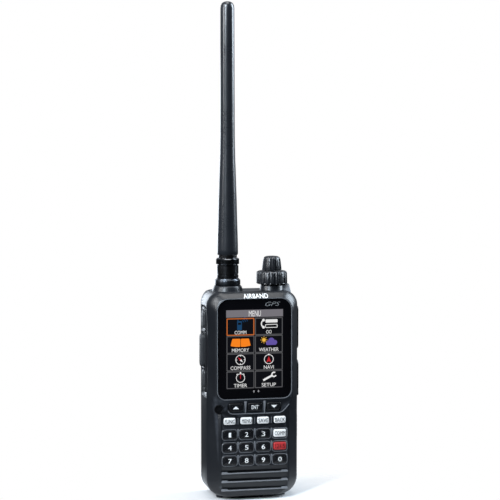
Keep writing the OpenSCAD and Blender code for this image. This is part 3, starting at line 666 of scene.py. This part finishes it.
x, z = tileX[1] - 3.1, tileZ[1] + 2.5  # sun
lit["Yellow"].append(disc(x, z, 1.15))
lit["Yellow"] += [lean(bar(x + 1.8, z, 0.75, 0.32), x, z, 45 * i) for i in range(8)]
x, z = tileX[1] + 1.5, tileZ[1] + 1.2  # cloud
lit["Violet"] += [disc(x + 0.1, z + 0.6, 2.0), disc(x - 1.9, z - 0.5, 1.35), disc(x + 2.3, z - 0.4, 1.5),
                  bar(x, z - 1.15, 6.6, 1.6, 0.7)]

x, z = tileX[0], tileZ[2] + 1.5  # compass
lit["White"] += [ringOf(x, z, 3.15, 0.4)] + [lean(bar(x, z + 2.5, 0.35, 0.9), x, z, 90 * i) for i in range(4)]
for colour, up in (("Red", 1), ("White", -1)):
    needle = shaped(bar(x, z + 1.15 * up, 1.3, 2.3, level=0.02), lambda p: (-(p.x - x) if (p.z - z) * up > 1 else 0, 0))
    lit[colour].append(lean(needle, x, z, 45))

x, z = tileX[1], tileZ[2] + 1.4  # course arrow
lit["White"] += [ringOf(x, z, 3.05, 0.4), disc(x, z + 2.95, 0.5, 10, 0.02)]
arrow = bar(x, z - 0.1, 3.2, 3.9, level=0.02)
choose(arrow, "FACE", lambda c, n: True)
bpy.ops.mesh.bisect(plane_co=(x * mm, 0, 0), plane_no=(1, 0, 0))
done()
lit["Red"].append(shaped(arrow, lambda p: (-(p.x - x), 0) if p.z > z
                         else (0, 0.9 if abs(p.x - x) < 0.1 else 0)))

x, z = tileX[0], tileZ[3] + 1.2  # stopwatch
lit["White"] += [ringOf(x, z, 2.85, 0.4), disc(x, z + 3.35, 0.5, 10)] + [
    lean(bar(x, z + 3.2, 0.9, 0.4), x, z, turn) for turn in (-42, 42)]
lit["Red"].append(bar(x, z + 0.9, 0.45, 2.9, level=0.02))

x, z = tileX[1] + 0.4, tileZ[3] + 1.3  # wrench
jaw = without(ringOf(x + 2.9, z + 1.5, 1.75, 0.85), lambda c, n: abs(
    math.atan2(c.z - (z + 1.5), c.x - (x + 2.9)) - math.radians(20)) < math.radians(38))
lit["White"] += [jaw, lean(bar(x - 1.5, z + 1.5, 6.6, 1.25, 0.3), x + 2.9, z + 1.5, 27)]

marks = {"at": ((-0.5, 1), (2.4, -1)), "level": 67.9, "apart": 0.35}
for x, up in marks["at"]:  # two small marks under the picture
    tip, foot = marks["level"] + marks["apart"] * up, marks["level"] - marks["apart"] * up
    lit["Grey"] += [shaped(bar(x, tip, 1.5, 0.7), lambda p: (-(p.x - x), 0) if (p.z - tip) * up > 0 else (0, 0)),
                    bar(x, foot, 0.5, 0.8)]
for name, patches in lit.items():
    show(join("screen" + name, patches), "radio", screenFinishes[name])
band = {"x": 0.9, "z": 127.0, "width": 15.5, "height": 2.5, "y": -16.0, "slope": 1.105}
bandWord = word("bandWord", "AIRBAND", band["x"], band["z"], band["width"], band["height"], band["y"])
for vertex in bandWord.data.vertices:  # laid back on the sloping band
    vertex.co.y += (vertex.co.z - band["z"] * mm) * band["slope"]
show(bandWord, "radio", legendWhite)
show(word("glassWord", "GPS", 11.4, 122.0, 9.6, 2.6, glassFace, slant=0.35), "radio", legendGrey)
print("display")

# keypad

caps = {"low": -15.0, "front": -18.3, "radius": 1.0, "edge": 0.42, "pillow": 0.1}


def keyCap(name, width, height, corners=None):
    face = caps["front"] + caps["pillow"]
    piece = block(name, (-width / 2, face, -height / 2), (width / 2, caps["low"], height / 2))
    for (sideX, sideZ), radius in (corners or {(a, b): caps["radius"] for a in (-1, 1) for b in (-1, 1)}).items():
        roundEdges(piece, radius, 5, runs("Y", lambda a, b: a.x * sideX > 0 and a.z * sideZ > 0))
    choose(piece, "FACE", lambda c, n: n.y < -0.9)
    bpy.ops.mesh.bevel(offset=caps["edge"] * mm, segments=3, profile=0.5, affect="EDGES")
    done()
    choose(piece, "FACE", lambda c, n: n.y < -0.99 and c.y < face + 0.01)
    bpy.ops.mesh.inset(thickness=0.7 * mm, depth=caps["pillow"] * mm)
    done()
    return piece


square = {(a, b): 0.9 for a in (-1, 1) for b in (-1, 1)}
models = {
    "number": keyCap("number", 8.5, 5.5), "white": keyCap("white", 7.3, 4.2), "wide": keyCap("wide", 7.9, 4.7),
    "up": keyCap("up", 8.7, 4.9, {**square, (-1, -1): 2.4}), "enter": keyCap("enter", 8.7, 4.9),
    "down": keyCap("down", 8.7, 4.9, {**square, (1, -1): 2.4}),
}
legends = {  # node: model, words, width, height
    **{f"key_{n}": ("number", n, 2.2 if n != "1" else 1.5, 2.9) for n in "1234567890"},
    "key_func": ("white", "FUNC", 6.4, 2.4), "key_menu": ("white", "MENU", 6.4, 2.4),
    "key_save": ("white", "SAVE", 6.3, 2.4), "key_back": ("white", "BACK", 6.3, 2.4),
    "key_comm": ("wide", "COMM", 6.9, 2.4), "key_emergency": ("wide", "121.5", 6.3, 2.8),
    "key_enter": ("enter", "ENT", 4.4, 2.5), "key_up": ("up", "", 3.8, 1.8), "key_down": ("down", "", 3.8, 1.8),
}
for node, (model, text, width, height) in legends.items():
    low, high = edges(node)
    x, z = (low.x + high.x) / 2, (low.z + high.z) / 2
    plain = node.split("_")[1]
    cap = again(models[model], "cap" + plain.title(), (x, 0, z))
    slot = {"white": "key_white", "wide": "key_red" if plain == "emergency" else "key_white"}.get(model, "key_black")
    finish = {"key_white": whiteFinish, "key_red": redFinish, "key_black": keyFinish}[slot]
    show(cap, node, finish, [node])
    if text:
        legend = word("legend" + plain.title(), text, x, z, width, height, caps["front"])
    else:
        legend = block("legend" + plain.title(), (x - width / 2, caps["front"] - 0.05, z - height / 2),
                       (x + width / 2, caps["front"] + 0.01, z + height / 2))
        up = 1 if plain == "up" else -1
        shaped(legend, lambda p: (-(p.x - x), 0) if (p.z - z) * up > 0 else (0, 0))
        mend(legend)
    show(legend, node, legendRed if slot == "key_red" else legendBlack if slot == "key_white" else legendWhite)
for model in models.values():
    bpy.data.objects.remove(model)

keypad = {"rim": 0.36, "proud": 0.28, "ribTop": 0.95, "ribFoot": 0.35, "rows": (41.3, 33.2, 25.0),
          "columns": (-15.9, -5.3, 5.3, 15.9)}
rims, ribs = [], []
for z in keypad["rows"]:
    for x in keypad["columns"]:
        rim = plate("rim", (x - 4.95, z - 3.5), (x + 4.95, z + 3.35), (-17.5 - keypad["proud"], -17.3), 1.9, segments=5)
        rims.append(soften(frameOf(rim, keypad["rim"]), 0.09, 1))


def wedge(x, z, top, foot, length, proud):  # a rib that narrows downwards
    piece = block("rib", (x - top / 2, -17.5 - proud, z), (x + top / 2, -17.3, z + length))
    shaped(piece, lambda p: (-(p.x - x) * (1 - foot / top), 0) if p.z < z + 0.1 else (0, 0))
    return soften(piece, 0.12, 2)


for z in keypad["rows"]:
    ribs += [wedge(x, z - 0.9, keypad["ribTop"], keypad["ribFoot"], 4.4, 0.4) for x in (-10.6, 0, 10.6)]
ribs += [wedge(x, 47.6, 0.42, 0.34, 4.0, 0.3) for x in (-10.6, 0, 10.6)]
ribs += [wedge(x, 54.4, 1.5, 0.55, 7.4, 0.5) for x in (-5.9, 6.2)]
# key rims and ribs painted light grey as a painted highlight
show(join("keypadRims", rims), "radio", rimHighlightPaint)
show(join("keypadRibs", ribs), "radio", rimHighlightPaint)

ridge = {"path": [(-16.9, 56.6), (-16.5, 55.6), (-15.6, 54.7), (-14.3, 54.2), (0, 54.05), (15.6, 54.1), (17.6, 54.8),
                  (19.2, 56.2), (21.9, 59.3)], "width": 0.5, "proud": 0.4}
deselect()
bpy.ops.mesh.primitive_plane_add(size=1, location=(0, 0, 0))
trayRidge = keep("trayRidge")
start = Vector((ridge["path"][0][0], 0, ridge["path"][0][1]))
places = [(across * ridge["width"] / 2, y) for y in (-17.5 - ridge["proud"], -17.3) for across in (-1, 1)]
for vertex, (across, y) in zip(trayRidge.data.vertices, places):
    vertex.co = Vector((start.x + across, y, start.z)) * mm
choose(trayRidge, "FACE", lambda c, n: True)
last = start
heading = math.pi / 2
for i, (x, z) in enumerate(ridge["path"][1:]):
    point = Vector((x, 0, z))
    bpy.ops.mesh.extrude_region_move(TRANSFORM_OT_translate={"value": (point - last) * mm})
    following = ridge["path"][min(i + 2, len(ridge["path"]) - 1)]
    before = ridge["path"][i]
    turn = math.atan2(following[1] - before[1], following[0] - before[0])
    bpy.ops.transform.rotate(value=turn + heading if i == 0 else turn - heading, orient_axis="Y",
                             center_override=point * mm)
    heading = turn
    last = point
done()
# the tray ridge painted light grey as a painted highlight
show(soften(mend(trayRidge), 0.12, 2), "radio", rimHighlightPaint)

bars = []
for z in louvre["at"]:
    bars.append(soften(block("louvreBar", (-louvre["half"] - 0.2, -17.95, z - 0.85),
                             (louvre["half"] + 0.2, -16.6, z - 0.05)), 0.25, 3))
    for side in (-1, 1):
        x = side * (louvre["half"] - 1.9)
        bars.append(soften(block("louvreEnd", (x - 1.9, -17.7, z - 0.3), (x + 1.9, -16.6, z + 0.55)), 0.22, 2))
# louvre bars painted light grey as a painted highlight
show(join("louvreBars", bars), "radio", rimHighlightPaint)
portRing = turned("portRing", (port["x"], 0, port["z"]), port["steps"], "Y", 40)
show(portRing, "radio", keypadFinish)
print("keypad")


# top: bosses, lug, jack collar, sleeve, whip, knobs

axis = {"antenna": (-13.8, -2.0, 0), "knob": (14.4, -2.0, 0)}
bosses = {
    "antenna": [(129.0, 9.75), (129.7, 9.5), (130.6, 9.2), (131.6, 8.85), (132.3, 8.5), (132.6, 8.1), (132.7, 7.4),
                (132.7, 5.0), (128.8, 5.0)],
    "knob": [(129.0, 7.9), (129.8, 7.45), (131.9, 7.25), (132.4, 7.0), (132.5, 6.5), (132.5, 6.25), (129.4, 6.2),
             (128.8, 5.2)],
}
for name, steps in bosses.items():
    show(turned(name + "Boss", axis[name], steps), "radio", caseFinish)
lugLean = [  # which corners, and how far they move
    (lambda p: p.z > 130 and p.x > 24, (-0.4, 0, 1.0)), (lambda p: p.z > 130 and p.y < 0, (0, 1.6, 0)),
    (lambda p: p.z < 127 and p.y < 0, (0, -3.4, 1.6)),
]
lug = block("guardLug", (19.9, -6.2, 125.5), (25.4, 1.6, 132.4))
for test, move in lugLean:
    choose(lug, "VERT", test)
    bpy.ops.transform.translate(value=Vector(move) * mm)
    done()
roundEdges(lug, 1.1, 5, lambda a, b: a.z > 130 and b.z > 130)
soften(lug, 0.6, 4, 30)
# the lug carries the painted highlight colour
show(lug, "radio", lugHighlightPaint)

collar = turned("jackCollar", axis["antenna"], [(132.8, 7.5), (133.15, 7.95), (135.9, 7.95), (136.3, 7.7),
                                                (136.5, 7.25), (136.8, 7.2), (137.1, 6.9), (137.1, 5.7), (132.8, 5.7)])
show(soften(collar, 0.12, 2, 30), "radio", collarFinish, ["jack_collar"])

sleeve = {"sides": 60, "knurl": (146.15, 149.1), "knurlGap": 0.16, "knurlDepth": 0.3, "steps": [
    (137.4, 6.4), (137.65, 6.75), (139.2, 6.75), (139.4, 6.3), (139.8, 6.3), (140.0, 6.75), (145.0, 6.75),
    (145.3, 6.15), (145.8, 6.15), (145.9, 6.9), (146.15, 7.18), (149.1, 7.18), (149.4, 6.95), (149.7, 6.4),
    (149.7, 4.25), (137.4, 4.25)]}
bayonet = turned("bayonetSleeve", axis["antenna"], sleeve["steps"], "Z", sleeve["sides"])
antennaX, antennaY = axis["antenna"][:2]
knurlLow, knurlHigh = sleeve["knurl"]
choose(bayonet, "FACE", lambda c, n: knurlLow < c.z < knurlHigh and math.hypot(c.x - antennaX, c.y - antennaY) > 6.9)
bpy.ops.mesh.inset(thickness=sleeve["knurlGap"] * mm, depth=-sleeve["knurlDepth"] * mm, use_individual=True)
done()
show(bayonet, "bayonet", sleeveFinish, ["bayonet_sleeve"], 30)

whip = {"sides": 48, "steps": [
    (151.6, 5.9), (151.8, 6.25), (152.2, 6.5), (155.0, 6.5), (161, 6.37), (173, 6.0), (185.6, 5.7), (198, 5.28),
    (204, 5.1), (210, 4.85), (216.5, 4.7), (222.6, 4.58), (235, 4.5), (259, 4.42), (280, 4.36), (303.5, 4.3),
    (305.4, 4.05), (306.7, 3.4), (307.5, 2.3), (307.85, 1.0), (307.9, 0.2)]}
rod = turned("antennaRod", axis["antenna"], whip["steps"], "Z", whip["sides"])
show(rod, "antenna", whipFinish, ["antenna_whip"], 40)


def fluted(piece, low, high, wall, count, width, depth):  # presses grooves into a knob's turned wall
    middle = Vector(axis["knob"])

    def groove(p):
        turn = (math.atan2(p.y - middle.y, p.x - middle.x) / (2 * math.pi) * count) % 1
        return low < p.z < high and math.hypot(p.x - middle.x, p.y - middle.y) > wall and abs(turn - 0.5) < width / 2
    choose(piece, "VERT", groove)
    bpy.ops.transform.resize(value=(1 - depth, 1 - depth, 1), center_override=middle * mm)
    done()
    return piece


ringKnob = turned("channelKnob", axis["knob"], [(133.1, 8.9), (133.4, 9.5), (133.9, 9.72), (134.4, 9.75), (140.0, 9.6),
                                                (140.6, 9.3), (141.05, 8.6), (141.3, 7.6), (141.3, 2.7), (133.1, 2.7)],
                  "Z", 144)
fluted(ringKnob, 133.5, 140.8, 9.0, 18, 0.45, 0.06)
show(soften(ringKnob, 0.14, 2, 38), "channel", knobFinish, ["channel_ring"], 40)
volumeKnob = turned("volumeKnob", axis["knob"], [(141.7, 5.6), (141.9, 6.1), (142.4, 6.2), (144.8, 5.95), (147.4, 5.62),
                                                 (148.6, 5.42), (149.3, 5.1), (149.9, 4.5), (150.3, 3.5),
                                                 (150.45, 2.2), (150.5, 0.6)], "Z", 120)
fluted(volumeKnob, 141.8, 149.0, 5.2, 12, 0.45, 0.08)
fluted(volumeKnob, 149.2, 149.5, 4.9, 12, 0.45, 0.05)
show(soften(volumeKnob, 0.12, 2, 38), "volume", knobFinish, ["volume_knob"], 40)
print("top")

# left side: frame and keys

sideFrame = {"low": (-28.6, -4.6, 66.15), "high": (-27.0, 5.0, 119.25), "radius": 3.0, "gap": 0.35, "keyRadius": 2.4}
gate = roundEdges(block("sideFrame", sideFrame["low"], sideFrame["high"]), sideFrame["radius"], 6, runs("X"))
sideKeys = {  # name: body, node, low z, high z, outer x
    "upperSideKey": ("monitor", "monitor_key", 106.2, 117.0, -29.6),
    "talkKey": ("talk_key", "ptt_button", 82.0, 102.3, -31.0),
    "lowerSideKey": ("lamp", "lamp_key", 68.8, 79.9, -29.6),
}
for name, (body, node, low, high, out) in sideKeys.items():
    hole = block("hole", (-30, -3.75, low - sideFrame["gap"]), (-26, 4.35, high + sideFrame["gap"]))
    cut(gate, roundEdges(hole, 2.6, 6, runs("X")))
show(soften(mend(gate), 0.25, 2, 40), "radio", sideFinish, ["side_key_frame"])
for z in (104.25, 80.95):  # finger stops between the keys
    stop = block("fingerStop", (-29.0, -3.6, z - 0.75), (-27.6, 4.2, z + 0.75))
    show(soften(stop, 0.45, 4), "radio", sideFinish)
for name, (body, node, low, high, out) in sideKeys.items():
    key = block(name, (out + 0.25, -3.4, low), (-26.2, 4.0, high))
    roundEdges(key, sideFrame["keyRadius"], 8, runs("X"))
    choose(key, "FACE", lambda c, n: n.x < -0.9)
    bpy.ops.mesh.bevel(offset=0.75 * mm, segments=4, profile=0.5, affect="EDGES")
    done()
    choose(key, "FACE", lambda c, n: n.x < -0.99 and c.x < out + 0.3)
    bpy.ops.mesh.inset(thickness=1.1 * mm, depth=0.25 * mm)
    done()
    if name == "talkKey":  # raised bars under the finger
        pads = [soften(block("bar", (out, -2.0, z - 0.28), (out + 0.6, 2.6, z + 0.28)), 0.2, 3)
                for z in (85.5, 87.0, 88.5, 95.8, 97.3, 98.8)]
        key = join(name, [key, *pads])
    show(key, body, keyGripFinish, [node])
print("left side")

# right side: cover, flap, tether anchor, grip rib

low, high = edges("accessory_cover")
cover = roundEdges(block("accessoryCover", low, high), 2.6, 6, runs("X"))
for z in (95.5, 115.0):
    cut(cover, turned("sink", (0, -2.5, z), [(30.0, 2.1), (32, 2.1)], "X", 32))
choose(cover, "FACE", lambda c, n: n.x > 0.9 and c.x > high.x - 0.1 and c.z > 0)
bpy.ops.mesh.inset(thickness=0.9 * mm, depth=0)
bpy.ops.transform.translate(value=Vector((-0.28, 0, 0)) * mm)
done()
show(soften(mend(cover), 0.3, 3, 40), "radio", chassisFinish, ["accessory_cover"])

low, high = edges("dc_flap")
flap = block("jackFlap", (low.x, low.y, low.z + 0.1), (high.x, high.y, high.z))
roundEdges(flap, 3.6, 8, runs("X", lambda a, b: a.z > 80))
roundEdges(flap, 1.2, 4, runs("X", lambda a, b: a.z < 66))
choose(flap, "FACE", lambda c, n: n.x > 0.9)
bpy.ops.mesh.bevel(offset=0.5 * mm, segments=3, profile=0.5, affect="EDGES")
done()
choose(flap, "FACE", lambda c, n: n.x > 0.99 and c.x > high.x - 0.05)
bpy.ops.mesh.inset(thickness=1.2 * mm, depth=-0.3 * mm)
done()
for z in (65.4, 66.6):
    cut(flap, block("groove", (high.x - 0.35, low.y - 1, z - 0.25), (high.x + 1, high.y + 1, z + 0.25)))
tab = soften(block("tab", (high.x - 0.45, -4.6, 82.6), (high.x, -0.4, 83.7)), 0.2, 2)
plug = turned("plug", (0, -2.5, 75.0), [(low.x + 0.1, 3.4), (28.75, 3.4), (28.6, 3.1)], "X", 40)
show(soften(mend(join("jackFlap", [flap, tab, plug])), 0.12, 2, 45), "flap", flapFinish, ["dc_flap"])

anchor = block("tetherAnchor", (28.3, -6, 56), (29.8, 1, 60.6))
cut(anchor, block("eye", (28.7, -3.6, 55), (29.35, -1.4, 62)))
show(soften(anchor, 0.4, 3), "radio", caseFinish)
grip = block("gripRib", (28.3, -6, 36), (30.2, 1, 51))
roundEdges(grip, 1.3, 5, lambda a, b: a.x > 29 and b.x > 29)
for z in (39.0, 42.0, 45.0, 48.0):
    cut(grip, block("groove", (29.6, -7, z - 0.4), (31, 2, z + 0.4)))
show(soften(mend(grip), 0.2, 2), "radio", caseFinish)

feet = [turned("foot", (x, -6, 0), [(2.8, 2.5), (0.35, 2.0), (0.08, 1.75), (0, 1.4)], "Z", 32) for x in (-20, 20)]
middlePad = block("pad", (-8.4, -8, 0), (8.4, 5, 2.2))
roundEdges(middlePad, 1.6, 5, runs("Z"))
feet.append(soften(middlePad, 0.35, 3))
show(join("caseFeet", feet), "radio", caseFinish)
print("right side")


# battery on the back

pack = {"half": 27.8, "low": 1.5, "top": 99.0, "front": 9.6, "bevel": 13.5, "back": 17.5, "in": 4.0,
        "topRadius": 2.0, "lowRadius": 10.0, "panel": 3.2, "recess": 0.5, "bars": (14.0, 18.0, 22.0, 26.0)}
flat = pack["half"] - pack["in"]
battery = block("batteryShell", (-pack["half"], pack["front"], pack["low"]), (pack["half"], pack["bevel"], pack["top"]))
for top, radius in ((True, pack["topRadius"]), (False, pack["lowRadius"])):
    roundEdges(battery, radius, 8, runs("Y", lambda a, b: (a.z > 50) == top))
choose(battery, "FACE", lambda c, n: n.y > 0.9)
rings((pack["bevel"], -pack["half"], pack["low"], pack["half"], pack["top"]), [
    (16.6, -flat - 1.0, 2.0, flat + 1.0, 98.8), (17.25, -flat - 0.3, 2.6, flat + 0.3, 98.5),
    (pack["back"], -flat + 0.6, 3.4, flat - 0.6, 97.8)])
done()
edge = flat - 0.6 - pack["panel"]
panel = block("panel", (-edge, pack["back"] - pack["recess"], 3.4 + pack["panel"]),
              (edge, pack["back"] + 2, 97.8 - pack["panel"]))
cut(battery, roundEdges(panel, 4.0, 6, runs("Y")), block("bay", (-9.1, 0, -1), (9.1, 15.7, 5.7)))  # bay for the latch
feet = [turned("foot", (x, pack["bevel"], 0), [(3.0, 2.0), (0.3, 1.95), (0, 1.5)], "Z", 32) for x in (-20, 20)]
bars = [soften(block("bar", (-15, 16.6, z - 0.9), (15, 17.35, z + 0.9)), 0.35, 3) for z in pack["bars"]]
rails = [soften(block("rail", (x - 0.8, 16.6, 36), (x + 0.8, 17.4, 88)), 0.35, 3) for x in (-17.2, 17.2)]
battery = join("batteryShell", [soften(mend(battery), 0.25, 2, 40, "MITER_SHARP"), *feet, *bars, *rails])
show(battery, "battery", batteryFinish, ["battery_case"], 40)
print("battery")


# CAD nodes that stay: their finishes

stays = {
    "rear_chassis": chassisFinish, "case_seal": sealFinish, "window_lens": glassFinish,
    "display_module": panelFinish, "keypad_mat": siliconeFinish, "keypad_board": boardFinish, "main_board": boardFinish,
    "shield_can": tinFinish, "gps_patch": ceramicFinish, "speaker": darkFinish, "speaker_mesh": darkFinish,
    "microphone": darkFinish, "control_pot": nickelFinish, "control_nut": nickelFinish, "antenna_jack": nickelFinish,
    "jack_collar": collarFinish, "side_key_frame": chassisFinish, "side_switch_board": boardFinish,
    "accessory_jack": darkFinish, "accessory_cover": chassisFinish, "dc_jack": darkFinish,
    "case_screws": blackScrewFinish, "contact_springs": goldFinish, "clip_inserts": brassFinish,
    "volume_knob": knobFinish, "volume_shaft": steelFinish, "channel_ring": knobFinish, "channel_shaft": steelFinish,
    "antenna_whip": whipFinish, "antenna_plug": plugFinish, "bayonet_sleeve": sleeveFinish,
    "ptt_button": sideFinish, "monitor_key": sideFinish, "lamp_key": sideFinish, "battery_case": batteryFinish,
    "battery_cover": batteryFinish, "battery_cells": cellFinish, "battery_terminals": goldFinish,
    "battery_latch": batteryFinish, "dc_flap": flapFinish, "key_emergency": redFinish,
    **{"key_" + n: whiteFinish for n in ("func", "menu", "save", "back", "comm")},
}
for name, node in nodes.items():
    node.data.materials.clear()
    node.data.materials.append(stays.get(name, keyFinish))
print("finishes on the packed nodes")


# room, light and camera

studio = {"floor": 0.5, "fade": (0.035, 0.10), "sun": 1.9, "sunSpread": 36}
deselect()
bpy.ops.mesh.primitive_plane_add(size=studio["floor"], location=(0, 0, 0))
floor = keep("floor")
paint = Paint("floorFinish")
reach = paint.node("VectorMath", {"operation": "LENGTH"}, {0: paint.place}, out="Value")
fade = paint.ramp(reach * 2, (studio["fade"][0] * 2, (1, 1, 1)), (studio["fade"][1] * 2, (0, 0, 0)))
tone = paint.blend(paint.noise(2), rgb(0.50, 0.50, 0.50), rgb(0.54, 0.54, 0.54))
floor.data.materials.append(paint.finish({"Base Color": tone, "Roughness": 0.9, "Alpha": fade}))
floor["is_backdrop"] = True

scene.world = bpy.data.worlds.new("studio")
scene.world.use_nodes = True
room = Paint.__new__(Paint)
room.tree = scene.world.node_tree
room.tree.nodes.clear()
way = room.node("TexCoord", out="Generated")
ahead = room.node("SeparateXYZ", None, {0: way}, out="Y")
up = room.node("SeparateXYZ", None, {0: way}, out="Z")
shade = room.ramp(ahead * 0.5 + 0.5, (0.0, (0.004, 0.0045, 0.006)), (0.38, (0.012, 0.013, 0.016)),
                  (0.60, (0.14, 0.152, 0.172)), (1.0, (0.32, 0.34, 0.37)))
shade = room.blend(room.ramp(up * 0.5 + 0.5, (0.44, (0, 0, 0)), (0.53, (1, 1, 1))), rgb(0.02, 0.02, 0.022), shade)
seen = room.node("LightPath", out="Is Camera Ray")
back = room.node("Background", None, {"Color": room.blend(seen, shade, rgb(1, 1, 1)), "Strength": 1.0})
room.node("OutputWorld", None, {"Surface": back})

lamps = {  # place, aim, size, watts, colour
    "mainStrip": ((-0.82, -0.92, 0.95), (0, 0, 0.17), (0.15, 1.1), 36.0, (0.80, 0.90, 1)),
    "leftStrip": ((-1.05, -0.30, 0.75), (0, 0, 0.12), (0.22, 1.0), 14.0, (0.95, 0.97, 1)),
    "leftCard": ((-0.16, 0.66, 0.16), (0, 0, 0.12), (0.3, 0.26), 1.2, (0.82, 0.9, 1)),
    "rightSoftbox": ((1.05, 0.05, 0.7), (0, 0, 0.12), (0.45, 1.0), 30.0, (0.78, 0.89, 1)),
    "overTop": ((-0.15, -0.35, 1.5), (0, 0, 0.12), (0.7, 0.25), 0.3, (0.9, 0.95, 1)),
}
for name, (place, aim, size, watts, colour) in lamps.items():
    data = bpy.data.lights.new(name, "AREA")
    data.shape, data.size, data.size_y, data.energy, data.color = "RECTANGLE", *size, watts, colour
    lamp = bpy.data.objects.new(name, data)
    lamp.location = place
    lamp.visible_camera = False
    lamp.rotation_euler = (Vector(aim) - Vector(place)).to_track_quat("-Z", "Y").to_euler()
    scene.collection.objects.link(lamp)
data = bpy.data.lights.new("overhead", "SUN")
data.energy, data.angle = studio["sun"], math.radians(studio["sunSpread"])
lamp = bpy.data.objects.new("overhead", data)
lamp.location = (0, 0, 2)
scene.collection.objects.link(lamp)

print("lights")

shot = {"target": (0.93, 0, 154.2), "turn": 12.74, "tilt": 4.4, "distance": 1083, "lens": 124.9}
turn, tilt = math.radians(shot["turn"]), math.radians(shot["tilt"])
camera = bpy.data.objects.new("camera", bpy.data.cameras.new("camera"))
scene.collection.objects.link(camera)
scene.camera = camera
camera.data.lens, camera.data.sensor_width = shot["lens"], 36
away = Vector((-math.sin(turn) * math.cos(tilt), -math.cos(turn) * math.cos(tilt), math.sin(tilt)))
camera.location = (Vector(shot["target"]) + away * shot["distance"]) * mm
camera.rotation_euler = (-away).to_track_quat("-Z", "Y").to_euler()
scene.view_settings.view_transform = "Standard"

low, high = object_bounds()
